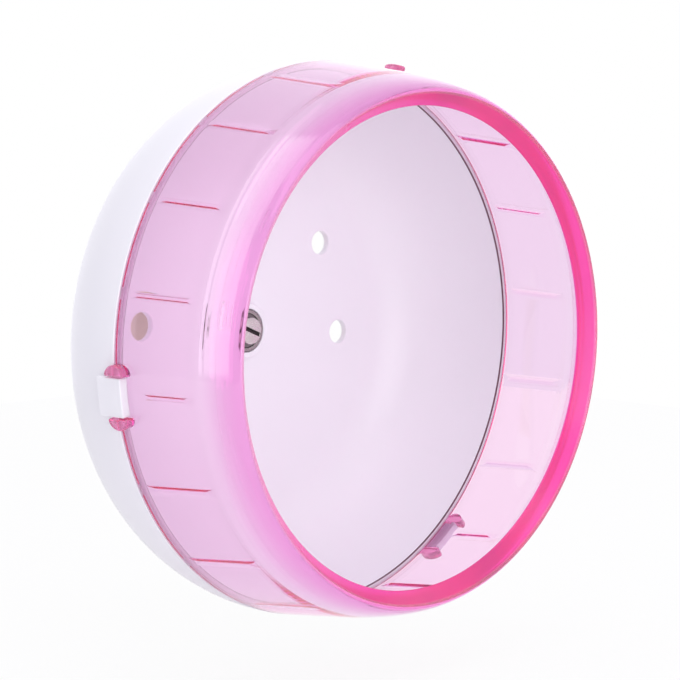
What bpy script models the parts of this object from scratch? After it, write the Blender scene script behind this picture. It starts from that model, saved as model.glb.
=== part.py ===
"""Hamster wheel: a clear ring snapped onto a white bowl, on two ball bearings and a cage-wall clamp.

Metres, +Z up. The axle lies along Y and the mouth of the wheel faces -Y. The origin is on the axle line,
where the cage wall meets the inner clamp plate. Axial places below are counted forward from there, towards
the mouth.
"""
import math

import bmesh
import bpy
from mathutils import Matrix, Vector

# Clearances
SEAT_GAP = 0.0003
SHAFT_GAP = 0.0001
PRESS_GAP = 0.0002
BALL_GAP = 0.00015

# Clear front ring
WHEEL_RADIUS = 0.0700
RING_WALL = 0.0017
RING_DEPTH = 0.0367
RING_CONE_DEPTH = 0.0210
RING_TAPER = math.radians(6.5)
NOSE_RADIUS = 0.0626
NOSE_WIDTH = 0.0023
SHOULDER_REACH = 0.0050
MOUTH_RADIUS = 0.0590
MOUTH_SETBACK = 0.0037
RIM_BACK_SLOPE = math.radians(45.0)
RIM_COVE_REACH = 0.0028

# Tread ribs inside the ring
RIB_COUNT = 18
RIB_START_ANGLE = math.radians(6.75)
RIB_WIDTH = 0.0018
RIB_TOP_WIDTH = 0.0006
RIB_HEIGHT = 0.0006
RIB_BACK = 0.0050
RIB_LATCH_BACK = 0.0086
RIB_FRONT = 0.0208

# White bowl
BOWL_WALL = 0.0020
BOWL_DEPTH = 0.0337
BOWL_STRAIGHT = 0.0017
BOWL_ROUND = 0.0246
SPIGOT_LENGTH = 0.0008
SPIGOT_WALL = 0.0010
HUB_WALL = 0.0015
HUB_PROUD = 0.0029
HUB_COVE = 0.0016
RIGHT_VENT_RADIUS = 0.0031
RIGHT_VENT_CIRCLE = 0.0364
RIGHT_VENT_ANGLES = (math.radians(-4.9), math.radians(35.7))
LEFT_VENT_RADIUS = 0.0036
LEFT_VENT_CIRCLE = 0.0329
LEFT_VENT_ANGLE = math.radians(174.5)

# Snap latches across the seam
LATCH_COUNT = 3
LATCH_START_ANGLE = math.radians(66.75)
TAB_WIDTH = 0.0094
TAB_THICKNESS = 0.0014
TAB_REACH = 0.0040
TAB_ROOT = 0.0045
HOOK_LENGTH = 0.0012
HOOK_DEPTH = 0.0004
BOSS_LENGTH = 0.0067
BOSS_WIDTH = 0.0028
BOSS_RISE = 0.0022
BOSS_REACH = 0.0054
BOSS_UNDERCUT = 0.0005

# Ball bearings
BEARING_RADIUS = 0.0055
BEARING_WIDTH = 0.0040
BEARING_SPACING = 0.0040
RACE_WALL = 0.0010
GROOVE_DEPTH = 0.0003
BALL_COUNT = 7
SHIELD_THICKNESS = 0.00025
SHIELD_INSET = 0.00015
SHIELD_GAP = 0.00025
CAGE_WIDTH = 0.0007
CAGE_THICKNESS = 0.00035
CAGE_FINGER_LENGTH = 0.0014
CAGE_FINGER_THICKNESS = 0.00042
CAGE_FINGER_GAP = 0.0003

# Axle screw and sleeves
SHANK_RADIUS = 0.00195
HEAD_RADIUS = 0.0035
HEAD_HEIGHT = 0.0014
HEAD_CHAMFER = 0.0003
SLOT_WIDTH = 0.0011
SLOT_DEPTH = 0.0007
SLOT_ANGLE = math.radians(-22.5)
TIP_LENGTH = 0.0030
TIP_CHAMFER = 0.0005
SPACER_WALL = 0.0009
STANDOFF_LENGTH = 0.0060
STANDOFF_WALL = 0.0013
STANDOFF_FLANGE_RADIUS = 0.0062
STANDOFF_FLANGE_THICKNESS = 0.0014

# Cage-wall clamp
PLATE_RADIUS = 0.0230
PLATE_RIM_WIDTH = 0.0025
PLATE_WEB = 0.0030
PLATE_CHAMFER = 0.0008
INNER_PLATE_THICKNESS = 0.0060
INNER_PLATE_HUB_RADIUS = 0.0080
OUTER_PLATE_THICKNESS = 0.0040
BAR_GAP = 0.0050
NUT_SIDES = 6
NUT_FLATS = 0.0070
NUT_THICKNESS = 0.0028
WASHER_RADIUS = 0.0050
WASHER_THICKNESS = 0.0008
WING_NUT_BOSS_RADIUS = 0.0048
WING_NUT_BOSS_LENGTH = 0.0060
WING_RADIUS = 0.0060
WING_OFFSET = 0.0088
WING_THICKNESS = 0.0024
WING_CLEARANCE = 0.0008

# Facets
WHEEL_STEPS = 60
BEARING_STEPS = 24
PLATE_STEPS = 40
RIM_POINTS = 7
BOWL_POINTS = 10
COVE_POINTS = 4
GROOVE_POINTS = 5
VENT_SEGMENTS = 20
WING_SEGMENTS = 20
BOSS_POINTS = 11
TAB_STEPS = 4
BALL_DIVISION_COUNT = 2
SMOOTH_ANGLE = math.radians(35.0)
MERGE_DISTANCE = 0.00001
OVERCUT = 0.0040
AXIS_MARK_SIZE = 0.01

# Axial places, counted forward from the cage wall
INNER_PLATE_FRONT = INNER_PLATE_THICKNESS
STANDOFF_BACK = INNER_PLATE_FRONT + SEAT_GAP
STANDOFF_FRONT = STANDOFF_BACK + STANDOFF_LENGTH
REAR_BEARING_BACK = STANDOFF_FRONT + SEAT_GAP
REAR_BEARING_FRONT = REAR_BEARING_BACK + BEARING_WIDTH
SPACER_BACK = REAR_BEARING_FRONT + SEAT_GAP
SPACER_FRONT = SPACER_BACK + BEARING_SPACING
FRONT_BEARING_BACK = SPACER_FRONT + SEAT_GAP
FRONT_BEARING_FRONT = FRONT_BEARING_BACK + BEARING_WIDTH
HEAD_BACK = FRONT_BEARING_FRONT + SEAT_GAP
HEAD_FRONT = HEAD_BACK + HEAD_HEIGHT
BACK_INSIDE = FRONT_BEARING_FRONT - HUB_PROUD
BACK_OUTSIDE = BACK_INSIDE - BOWL_WALL
SEAM = BACK_OUTSIDE + BOWL_DEPTH
RIM_FRONT = SEAM + RING_DEPTH
OUTER_PLATE_FRONT = -BAR_GAP
OUTER_PLATE_BACK = OUTER_PLATE_FRONT - OUTER_PLATE_THICKNESS
WASHER_FRONT = OUTER_PLATE_BACK - SEAT_GAP
WASHER_BACK = WASHER_FRONT - WASHER_THICKNESS
WING_NUT_FRONT = WASHER_BACK - SEAT_GAP
WING_NUT_BACK = WING_NUT_FRONT - WING_NUT_BOSS_LENGTH
SCREW_TIP = WING_NUT_BACK - TIP_LENGTH

# Radii that follow from the sizes above
BORE_RADIUS = SHANK_RADIUS + SHAFT_GAP
SLIDING_BORE_RADIUS = SHANK_RADIUS + PRESS_GAP
INNER_LAND = BORE_RADIUS + RACE_WALL
OUTER_LAND = BEARING_RADIUS - RACE_WALL
PITCH_RADIUS = (INNER_LAND + OUTER_LAND) / 2
GROOVE_RADIUS = (OUTER_LAND - INNER_LAND) / 2 + GROOVE_DEPTH
BALL_RADIUS = GROOVE_RADIUS - BALL_GAP
HUB_BORE = BEARING_RADIUS + PRESS_GAP
HUB_RADIUS = HUB_BORE + HUB_WALL
TAB_HALF_ANGLE = TAB_WIDTH / 2 / WHEEL_RADIUS
BOSS_HALF_ANGLE = TAB_HALF_ANGLE + SEAT_GAP / WHEEL_RADIUS
TAB_UNDERSIDE = WHEEL_RADIUS + SEAT_GAP


def clear_scene():
    for obj in list(bpy.data.objects):
        bpy.data.objects.remove(obj, do_unlink=True)


def make_collection(name):
    collection = bpy.data.collections.new(name)
    bpy.context.scene.collection.children.link(collection)
    return collection


def make_material(name, colour, roughness, metallic=0.0, transmission=0.0):
    material = bpy.data.materials.new(name)
    material.use_nodes = True
    shader = material.node_tree.nodes["Principled BSDF"]
    shader.inputs["Base Color"].default_value = (*colour, 1.0)
    shader.inputs["Roughness"].default_value = roughness
    shader.inputs["Metallic"].default_value = metallic
    shader.inputs["Transmission Weight"].default_value = transmission
    return material


def make_empty(name, location, parent=None, rotation=(0.0, 0.0, 0.0)):
    empty = bpy.data.objects.new(name, None)
    empty.empty_display_size = AXIS_MARK_SIZE
    empty.location = location
    empty.rotation_euler = rotation
    empty.parent = parent
    PARTS.objects.link(empty)
    return empty


def add_object(name, bm, parent, material=None):
    """Turn a bmesh into a part, or into a cutter when it has no material."""
    bmesh.ops.recalc_face_normals(bm, faces=bm.faces)
    mesh = bpy.data.meshes.new(name)
    bm.to_mesh(mesh)
    bm.free()
    obj = bpy.data.objects.new(name, mesh)
    obj.parent = parent
    if material is None:
        obj.hide_render = True
        obj.display_type = "WIRE"
        CUTTERS.objects.link(obj)
    else:
        mesh.materials.append(material)
        mesh.shade_smooth()
        mesh.set_sharp_from_angle(angle=SMOOTH_ANGLE)
        PARTS.objects.link(obj)
    return obj


def turned(name, outline, steps, parent, material=None, closed=True):
    """Turn a (radius, forward) outline about the axle with a Screw modifier."""
    points = list(outline)
    following = points[1:] + points[:1]
    area = sum(a[0] * b[1] - b[0] * a[1] for a, b in zip(points, following))
    if area > 0:
        points.reverse()
    bm = bmesh.new()
    verts = [bm.verts.new((radius, 0.0, forward)) for radius, forward in points]
    for start, end in zip(verts, verts[1:]):
        bm.edges.new((start, end))
    if closed:
        bm.edges.new((verts[-1], verts[0]))
    obj = add_object(name, bm, parent, material)
    screw = obj.modifiers.new("turn", "SCREW")
    screw.axis = "Z"
    screw.steps = steps
    screw.render_steps = steps
    screw.use_merge_vertices = True
    screw.merge_threshold = MERGE_DISTANCE
    screw.use_smooth_shade = True
    return obj


def combine(obj, operation, other):
    modifier = obj.modifiers.new(operation.lower(), "BOOLEAN")
    modifier.operation = operation
    modifier.solver = "EXACT"
    modifier.object = other


def arc(centre, radii, start, end, count):
    """Points of an elliptic arc in the (radius, forward) plane."""
    points = []
    for index in range(count):
        angle = start + (end - start) * index / (count - 1)
        points.append((centre[0] + radii[0] * math.cos(angle), centre[1] + radii[1] * math.sin(angle)))
    return points


def bezier(p0, p1, p2, p3, count):
    """Points of a cubic curve, both ends included."""
    points = []
    for index in range(count):
        t = index / (count - 1)
        weights = ((1 - t) ** 3, 3 * t * (1 - t) ** 2, 3 * t * t * (1 - t), t ** 3)
        points.append(tuple(sum(w * p[axis] for w, p in zip(weights, (p0, p1, p2, p3))) for axis in (0, 1)))
    return points


def polar(angle):
    """Outward and sideways directions at an angle seen from the front, from +X towards +Z."""
    outward = Vector((math.cos(angle), math.sin(angle), 0.0))
    sideways = Vector((-math.sin(angle), math.cos(angle), 0.0))
    return outward, sideways


def placement(x_axis, y_axis, z_axis, origin):
    matrix = Matrix((x_axis, y_axis, z_axis)).transposed().to_4x4()
    matrix.translation = origin
    return matrix


def add_box(bm, matrix, size):
    scale = Matrix.Diagonal((*size, 1.0))
    bmesh.ops.create_cube(bm, size=1.0, matrix=matrix @ scale)


def add_ridge(bm, matrix, length, foot, top, height):
    """A bar centred on its height, whose sides and ends draw in from its foot at +z to its top at -z."""
    verts = bmesh.ops.create_cube(bm, size=1.0)["verts"]
    narrow = [vert for vert in verts if vert.co.z < 0]
    bmesh.ops.scale(bm, verts=verts, vec=(length, foot, height))
    bmesh.ops.scale(bm, verts=narrow, vec=((length - foot + top) / length, top / foot, 1.0))
    bmesh.ops.transform(bm, verts=verts, matrix=matrix)


def add_prism(bm, matrix, radius, length, segments):
    bmesh.ops.create_cone(bm, cap_ends=True, segments=segments, radius1=radius, radius2=radius, depth=length,
                          matrix=matrix)


def add_half_round(bm, matrix, radii, height):
    """A half-elliptic prism, flat on its own y = 0 side and centred on its height."""
    outline = arc((0.0, 0.0), radii, 0.0, math.pi, BOSS_POINTS)
    verts = [bm.verts.new((x, y, -height / 2)) for x, y in outline]
    face = bm.faces.new(verts)
    lifted = bmesh.ops.extrude_face_region(bm, geom=[face])["geom"]
    top = [item for item in lifted if isinstance(item, bmesh.types.BMVert)]
    bmesh.ops.translate(bm, verts=top, vec=(0.0, 0.0, height))
    bmesh.ops.transform(bm, matrix=matrix, verts=verts + top)


def latch_angles():
    return [LATCH_START_ANGLE + 2 * math.pi * index / LATCH_COUNT for index in range(LATCH_COUNT)]


def ring_inner_radius(distance):
    """Radius of the ring's inner side at a distance forward of the seam, along its straight stretch."""
    return WHEEL_RADIUS - distance * math.tan(RING_TAPER) - RING_WALL / math.cos(RING_TAPER)


def ring_outline():
    """Thin tapered wall that swells into a solid rim, sloped towards the mouth in front and behind."""
    slope = math.tan(RING_TAPER)
    back = (WHEEL_RADIUS - SEAT_GAP * slope, SEAM + SEAT_GAP)
    cone_end = (WHEEL_RADIUS - RING_CONE_DEPTH * slope, SEAM + RING_CONE_DEPTH)
    shoulder = (cone_end[0] - SHOULDER_REACH * slope, cone_end[1] + SHOULDER_REACH)
    nose = (NOSE_RADIUS, RIM_FRONT)
    bullnose = bezier(cone_end, shoulder, (NOSE_RADIUS + NOSE_WIDTH, RIM_FRONT), nose, RIM_POINTS)
    mouth = (MOUTH_RADIUS, RIM_FRONT - MOUTH_SETBACK)
    fall = math.tan(RIM_BACK_SLOPE)
    rise = ring_inner_radius(mouth[1] - SEAM) - MOUTH_RADIUS
    depth = rise * fall / (1 - slope * fall)
    meeting = (MOUTH_RADIUS + depth / fall, mouth[1] - depth)
    cove_start = (meeting[0] - RIM_COVE_REACH * math.cos(RIM_BACK_SLOPE),
                  meeting[1] + RIM_COVE_REACH * math.sin(RIM_BACK_SLOPE))
    cove_end = (meeting[0] + RIM_COVE_REACH * slope, meeting[1] - RIM_COVE_REACH)
    cove = bezier(cove_start, meeting, meeting, cove_end, COVE_POINTS)
    inside_back = (ring_inner_radius(SEAT_GAP), SEAM + SEAT_GAP)
    return [back] + bullnose + [mouth] + cove + [inside_back]


def tread_ribs(parent):
    """Low ridges along the inside of the ring, sloped on all sides and sunk to the middle of its wall."""
    bm = bmesh.new()
    embed = RING_WALL / 2
    widening = embed * (RIB_WIDTH - RIB_TOP_WIDTH) / RIB_HEIGHT
    latched = RIB_COUNT // LATCH_COUNT
    first_latched = round((LATCH_START_ANGLE - RIB_START_ANGLE) / (2 * math.pi / RIB_COUNT)) % latched
    for index in range(RIB_COUNT):
        start = RIB_LATCH_BACK if index % latched == first_latched else RIB_BACK
        middle = (start + RIB_FRONT) / 2
        outward, sideways = polar(RIB_START_ANGLE + 2 * math.pi * index / RIB_COUNT)
        forward = Vector((0.0, 0.0, 1.0))
        along = forward * math.cos(RING_TAPER) - outward * math.sin(RING_TAPER)
        normal = outward * math.cos(RING_TAPER) + forward * math.sin(RING_TAPER)
        centre = outward * ring_inner_radius(middle) + forward * (SEAM + middle)
        centre += normal * (embed - RIB_HEIGHT) / 2
        length = (RIB_FRONT - start) / math.cos(RING_TAPER) + widening
        frame = placement(-along, sideways, normal, centre)
        add_ridge(bm, frame, length, RIB_WIDTH + widening, RIB_TOP_WIDTH, RIB_HEIGHT + embed)
    return add_object("cut_tread_ribs", bm, parent)


def latch_bosses(parent):
    """Half-round bosses on both sides of each latch, held clear of the bowl behind the seam."""
    bm = bmesh.new()
    foot = WHEEL_RADIUS - RING_WALL / 3 - BOSS_REACH * math.tan(RING_TAPER)
    top = WHEEL_RADIUS + BOSS_RISE
    forward = Vector((0.0, 0.0, 1.0))
    middle = SEAM + BOSS_REACH - BOSS_LENGTH / 2
    for latch in latch_angles():
        for side in (-1, 1):
            outward, sideways = polar(latch + side * BOSS_HALF_ANGLE)
            origin = outward * (foot + top) / 2 + forward * middle
            frame = placement(-side * forward, side * sideways, outward, origin)
            add_half_round(bm, frame, (BOSS_LENGTH / 2, BOSS_WIDTH), top - foot)
    bosses = add_object("cut_latch_bosses", bm, parent)
    clear_back = SEAM - BOSS_LENGTH
    clear_front = SEAM + SEAT_GAP + BOSS_UNDERCUT
    clear_inside = WHEEL_RADIUS - RING_WALL - BOSS_LENGTH
    outline = [(TAB_UNDERSIDE, clear_front), (TAB_UNDERSIDE, clear_back), (clear_inside, clear_back),
               (clear_inside, clear_front)]
    clearance = turned("cut_boss_clearance", outline, WHEEL_STEPS, parent)
    combine(bosses, "DIFFERENCE", clearance)
    return bosses


def hook_slots(parent):
    """Pockets in the outside of the ring that the latch hooks drop into."""
    bm = bmesh.new()
    forward = Vector((0.0, 0.0, 1.0))
    bottom = WHEEL_RADIUS - HOOK_DEPTH - SEAT_GAP - TAB_REACH * math.tan(RING_TAPER)
    top = WHEEL_RADIUS + OVERCUT
    middle = SEAM + TAB_REACH - HOOK_LENGTH / 2
    width = 2 * (WHEEL_RADIUS * math.sin(TAB_HALF_ANGLE) + SEAT_GAP / 2)
    for latch in latch_angles():
        outward, sideways = polar(latch)
        centre = outward * (bottom + top) / 2 + forward * middle
        add_box(bm, placement(-forward, sideways, outward, centre),
                (HOOK_LENGTH + 2 * SEAT_GAP, width, top - bottom))
    return add_object("cut_hook_slots", bm, parent)


def front_ring(parent):
    ring = turned("front_ring", ring_outline(), WHEEL_STEPS, parent, CLEAR_PINK)
    combine(ring, "UNION", tread_ribs(parent))
    combine(ring, "UNION", latch_bosses(parent))
    combine(ring, "DIFFERENCE", hook_slots(parent))


def bowl_outline():
    """Closed outline of the bowl with its hub, spigot and bearing seats."""
    spigot_back = ring_inner_radius(0.0) - SEAT_GAP
    spigot_front = ring_inner_radius(SPIGOT_LENGTH) - SEAT_GAP
    inner_wall = spigot_front - SPIGOT_WALL
    flat = WHEEL_RADIUS - BOWL_ROUND
    corner = (flat, SEAM - BOWL_STRAIGHT)
    outer_reach = BOWL_DEPTH - BOWL_STRAIGHT
    inner_reach = outer_reach - BOWL_WALL
    outside = arc(corner, (BOWL_ROUND, -outer_reach), 0.0, math.pi / 2, BOWL_POINTS)
    inside = arc(corner, (inner_wall - flat, -inner_reach), math.pi / 2, 0.0, BOWL_POINTS)
    cove = (HUB_COVE, HUB_COVE)
    cove_radius = HUB_RADIUS + HUB_COVE
    cove_back = arc((cove_radius, BACK_OUTSIDE - HUB_COVE), cove, math.pi / 2, math.pi, COVE_POINTS)
    cove_front = arc((cove_radius, BACK_INSIDE + HUB_COVE), cove, math.pi, 3 * math.pi / 2, COVE_POINTS)
    hub = [(HUB_RADIUS, REAR_BEARING_BACK), (HUB_BORE, REAR_BEARING_BACK), (HUB_BORE, SPACER_BACK),
           (OUTER_LAND, SPACER_BACK), (OUTER_LAND, SPACER_FRONT), (HUB_BORE, SPACER_FRONT),
           (HUB_BORE, FRONT_BEARING_FRONT), (HUB_RADIUS, FRONT_BEARING_FRONT)]
    rim = [(inner_wall, SEAM + SPIGOT_LENGTH), (spigot_front, SEAM + SPIGOT_LENGTH), (spigot_back, SEAM),
           (WHEEL_RADIUS, SEAM)]
    return rim + outside + cove_back + hub + cove_front + inside


def vents(parent):
    holes = [(RIGHT_VENT_RADIUS, RIGHT_VENT_CIRCLE, angle) for angle in RIGHT_VENT_ANGLES]
    holes.append((LEFT_VENT_RADIUS, LEFT_VENT_CIRCLE, LEFT_VENT_ANGLE))
    bm = bmesh.new()
    length = BOWL_WALL + 2 * OVERCUT
    for radius, circle, angle in holes:
        outward, _ = polar(angle)
        centre = outward * circle + Vector((0.0, 0.0, (BACK_INSIDE + BACK_OUTSIDE) / 2))
        add_prism(bm, Matrix.Translation(centre), radius, length, VENT_SEGMENTS)
    return add_object("cut_vents", bm, parent)


def back_bowl(parent):
    bowl = turned("back_bowl", bowl_outline(), WHEEL_STEPS, parent, WHITE)
    combine(bowl, "DIFFERENCE", vents(parent))


def latch_tab(index, angle, wheel):
    """A tab that lies over the seam and hooks into the ring, on a hinge line at its root."""
    outward, _ = polar(angle)
    root = outward * TAB_UNDERSIDE + Vector((0.0, 0.0, SEAM - TAB_ROOT))
    hinge = make_empty(f"latch_hinge_{index}", root, wheel)
    top = TAB_UNDERSIDE + TAB_THICKNESS
    front = SEAM + TAB_REACH
    hook_back = front - HOOK_LENGTH
    hook_bottom = WHEEL_RADIUS - HOOK_DEPTH - TAB_REACH * math.tan(RING_TAPER)
    outline = [(TAB_UNDERSIDE, SEAM - TAB_ROOT), (top, SEAM - TAB_ROOT), (top, front), (hook_bottom, front),
               (hook_bottom, hook_back), (TAB_UNDERSIDE, hook_back)]
    bm = bmesh.new()
    start, _ = polar(angle - TAB_HALF_ANGLE)
    verts = [bm.verts.new(start * radius + Vector((0.0, 0.0, forward))) for radius, forward in outline]
    face = bm.faces.new(verts)
    bmesh.ops.spin(bm, geom=[face], cent=(0, 0, 0), axis=(0, 0, 1), angle=2 * TAB_HALF_ANGLE, steps=TAB_STEPS)
    bmesh.ops.translate(bm, verts=bm.verts, vec=-root)
    add_object(f"latch_tab_{index}", bm, hinge, WHITE)


def race_groove(back, side):
    """Ball groove of one race, from its front edge to its back edge (side -1 inner race, 1 outer race)."""
    centre = (PITCH_RADIUS, back + BEARING_WIDTH / 2)
    radii = (GROOVE_RADIUS, GROOVE_RADIUS)
    land = (OUTER_LAND - INNER_LAND) / 2
    half = math.acos(land / GROOVE_RADIUS)
    if side < 0:
        return arc(centre, radii, math.pi - half, math.pi + half, GROOVE_POINTS)
    return arc(centre, radii, half, -half, GROOVE_POINTS)


def bearing_races(name, back, axle, wheel):
    front = back + BEARING_WIDTH
    inner = [(BORE_RADIUS, front), (INNER_LAND, front)] + race_groove(back, -1)
    inner += [(INNER_LAND, back), (BORE_RADIUS, back)]
    outer = [(BEARING_RADIUS, front), (OUTER_LAND, front)] + race_groove(back, 1)
    outer += [(OUTER_LAND, back), (BEARING_RADIUS, back)]
    turned(f"{name}_inner_race", inner, BEARING_STEPS, axle, BEARING_STEEL)
    turned(f"{name}_outer_race", outer, BEARING_STEPS, wheel, BEARING_STEEL)


def bearing_shields(name, back, wheel):
    """Thin steel washers in both mouths of a bearing, carried by its outer race."""
    inside = INNER_LAND + SHIELD_GAP
    outside = OUTER_LAND - SHAFT_GAP
    front = back + BEARING_WIDTH
    for end, face in (("back", back + SHIELD_INSET), ("front", front - SHIELD_INSET - SHIELD_THICKNESS)):
        outline = [(inside, face), (outside, face), (outside, face + SHIELD_THICKNESS),
                   (inside, face + SHIELD_THICKNESS)]
        turned(f"{name}_bearing_{end}_shield", outline, BEARING_STEPS, wheel, SHIELD_STEEL)


def balls(name, back, parent):
    for index in range(BALL_COUNT):
        outward, _ = polar(2 * math.pi * index / BALL_COUNT)
        bm = bmesh.new()
        bmesh.ops.create_icosphere(bm, subdivisions=BALL_DIVISION_COUNT, radius=BALL_RADIUS)
        ball = add_object(f"{name}_ball_{index + 1}", bm, parent, BEARING_STEEL)
        ball.location = outward * PITCH_RADIUS + Vector((0.0, 0.0, back + BEARING_WIDTH / 2))


def ball_cage(name, back, parent):
    """Crown cage: a ring beside the balls with a finger between each two of them."""
    middle = back + BEARING_WIDTH / 2
    ring_back = middle + BALL_RADIUS + BALL_GAP
    inside = PITCH_RADIUS - CAGE_WIDTH / 2
    outside = PITCH_RADIUS + CAGE_WIDTH / 2
    outline = [(inside, ring_back), (outside, ring_back), (outside, ring_back + CAGE_THICKNESS),
               (inside, ring_back + CAGE_THICKNESS)]
    cage = turned(f"{name}_ball_cage", outline, BEARING_STEPS, parent, BRASS)
    pocket = 2 * math.pi / BALL_COUNT
    room = 2 * PITCH_RADIUS * math.sin(pocket / 2) - 2 * BALL_RADIUS
    size = (CAGE_FINGER_LENGTH, room - 2 * CAGE_FINGER_GAP, CAGE_FINGER_THICKNESS)
    forward = Vector((0.0, 0.0, 1.0))
    bm = bmesh.new()
    finger_front = ring_back + CAGE_THICKNESS / 2
    for index in range(BALL_COUNT):
        outward, sideways = polar((index + 0.5) * pocket)
        centre = outward * PITCH_RADIUS + forward * (finger_front - CAGE_FINGER_LENGTH / 2)
        add_box(bm, placement(-forward, sideways, outward, centre), size)
    combine(cage, "UNION", add_object(f"cut_{name}_cage_fingers", bm, parent))


def axle_screw(parent):
    profile = [(0.0, HEAD_FRONT), (HEAD_RADIUS - HEAD_CHAMFER, HEAD_FRONT),
               (HEAD_RADIUS, HEAD_FRONT - HEAD_CHAMFER), (HEAD_RADIUS, HEAD_BACK), (SHANK_RADIUS, HEAD_BACK),
               (SHANK_RADIUS, SCREW_TIP + TIP_CHAMFER), (SHANK_RADIUS - TIP_CHAMFER, SCREW_TIP),
               (0.0, SCREW_TIP)]
    screw = turned("axle_screw", profile, BEARING_STEPS, parent, SCREW_STEEL, closed=False)
    bm = bmesh.new()
    height = SLOT_DEPTH + OVERCUT
    centre = Vector((0.0, 0.0, HEAD_FRONT - SLOT_DEPTH + height / 2))
    turn = Matrix.Translation(centre) @ Matrix.Rotation(SLOT_ANGLE, 4, "Z")
    add_box(bm, turn, (2 * (HEAD_RADIUS + OVERCUT), SLOT_WIDTH, height))
    combine(screw, "DIFFERENCE", add_object("cut_screw_slot", bm, parent))


def sleeves(parent):
    spacer_outside = BORE_RADIUS + SPACER_WALL
    spacer = [(BORE_RADIUS, SPACER_BACK), (spacer_outside, SPACER_BACK), (spacer_outside, SPACER_FRONT),
              (BORE_RADIUS, SPACER_FRONT)]
    turned("bearing_spacer", spacer, BEARING_STEPS, parent, SCREW_STEEL)
    sleeve_outside = BORE_RADIUS + STANDOFF_WALL
    flange_front = STANDOFF_BACK + STANDOFF_FLANGE_THICKNESS
    standoff = [(BORE_RADIUS, STANDOFF_BACK), (STANDOFF_FLANGE_RADIUS, STANDOFF_BACK),
                (STANDOFF_FLANGE_RADIUS, flange_front), (sleeve_outside, flange_front),
                (sleeve_outside, STANDOFF_FRONT), (BORE_RADIUS, STANDOFF_FRONT)]
    turned("standoff_sleeve", standoff, BEARING_STEPS, parent, IVORY)


def nut_prism(bm, flats, back, front):
    radius = flats / 2 / math.cos(math.pi / NUT_SIDES)
    add_prism(bm, Matrix.Translation((0.0, 0.0, (back + front) / 2)), radius, front - back, NUT_SIDES)


def inner_clamp_plate(parent):
    """Dished plate with its flat side to the cage wall and a pocket for the lock nut."""
    rim_inside = PLATE_RADIUS - PLATE_RIM_WIDTH
    edge = PLATE_RADIUS - PLATE_CHAMFER
    front = INNER_PLATE_FRONT
    outline = [(BORE_RADIUS, 0.0), (edge, 0.0), (PLATE_RADIUS, PLATE_CHAMFER),
               (PLATE_RADIUS, front - PLATE_CHAMFER), (edge, front), (rim_inside, front),
               (rim_inside, PLATE_WEB), (INNER_PLATE_HUB_RADIUS, PLATE_WEB), (INNER_PLATE_HUB_RADIUS, front),
               (BORE_RADIUS, front)]
    plate = turned("inner_clamp_plate", outline, PLATE_STEPS, parent, IVORY)
    bm = bmesh.new()
    pocket_depth = NUT_THICKNESS + 2 * SEAT_GAP
    nut_prism(bm, NUT_FLATS + 2 * SEAT_GAP, -OVERCUT, pocket_depth)
    combine(plate, "DIFFERENCE", add_object("cut_nut_pocket", bm, parent))


def lock_nut(parent):
    bm = bmesh.new()
    nut_prism(bm, NUT_FLATS, SEAT_GAP, SEAT_GAP + NUT_THICKNESS)
    nut = add_object("lock_nut", bm, parent, SCREW_STEEL)
    bm = bmesh.new()
    add_prism(bm, Matrix.Identity(4), BORE_RADIUS, 2 * (NUT_THICKNESS + OVERCUT), BEARING_STEPS)
    combine(nut, "DIFFERENCE", add_object("cut_nut_bore", bm, parent))


def outer_clamp_plate(parent):
    back = OUTER_PLATE_BACK
    front = OUTER_PLATE_FRONT
    edge = PLATE_RADIUS - PLATE_CHAMFER
    outline = [(SLIDING_BORE_RADIUS, back), (edge, back), (PLATE_RADIUS, back + PLATE_CHAMFER),
               (PLATE_RADIUS, front - PLATE_CHAMFER), (edge, front), (SLIDING_BORE_RADIUS, front)]
    turned("outer_clamp_plate", outline, PLATE_STEPS, parent, IVORY)
    washer = [(SLIDING_BORE_RADIUS, WASHER_BACK), (WASHER_RADIUS, WASHER_BACK), (WASHER_RADIUS, WASHER_FRONT),
              (SLIDING_BORE_RADIUS, WASHER_FRONT)]
    turned("clamp_washer", washer, BEARING_STEPS, parent, SCREW_STEEL)


def wing_nut(parent):
    boss = [(SLIDING_BORE_RADIUS, WING_NUT_BACK), (WING_NUT_BOSS_RADIUS, WING_NUT_BACK),
            (WING_NUT_BOSS_RADIUS, WING_NUT_FRONT), (SLIDING_BORE_RADIUS, WING_NUT_FRONT)]
    nut = turned("wing_nut", boss, BEARING_STEPS, parent, IVORY)
    bm = bmesh.new()
    forward = Vector((0.0, 0.0, 1.0))
    middle = WING_NUT_FRONT - WING_CLEARANCE - WING_RADIUS
    for side in (0.0, math.pi):
        outward, sideways = polar(side)
        centre = outward * WING_OFFSET + forward * middle
        frame = placement(forward, outward, sideways, centre)
        add_prism(bm, frame, WING_RADIUS, WING_THICKNESS, WING_SEGMENTS)
    combine(nut, "UNION", add_object("cut_wings", bm, parent))


clear_scene()
PARTS = make_collection("hamster_wheel")
CUTTERS = make_collection("hamster_wheel_cutters")

CLEAR_PINK = make_material("clear_pink_plastic", (0.93, 0.36, 0.66), 0.08, transmission=0.85)
WHITE = make_material("white_plastic", (0.86, 0.84, 0.88), 0.30)
BEARING_STEEL = make_material("bearing_steel", (0.45, 0.43, 0.43), 0.25, metallic=1.0)
SHIELD_STEEL = make_material("shield_steel", (0.32, 0.30, 0.31), 0.35, metallic=1.0)
SCREW_STEEL = make_material("screw_steel", (0.68, 0.65, 0.64), 0.30, metallic=1.0)
BRASS = make_material("cage_brass", (0.72, 0.52, 0.24), 0.35, metallic=1.0)
IVORY = make_material("ivory_plastic", (0.84, 0.72, 0.60), 0.45)

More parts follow.
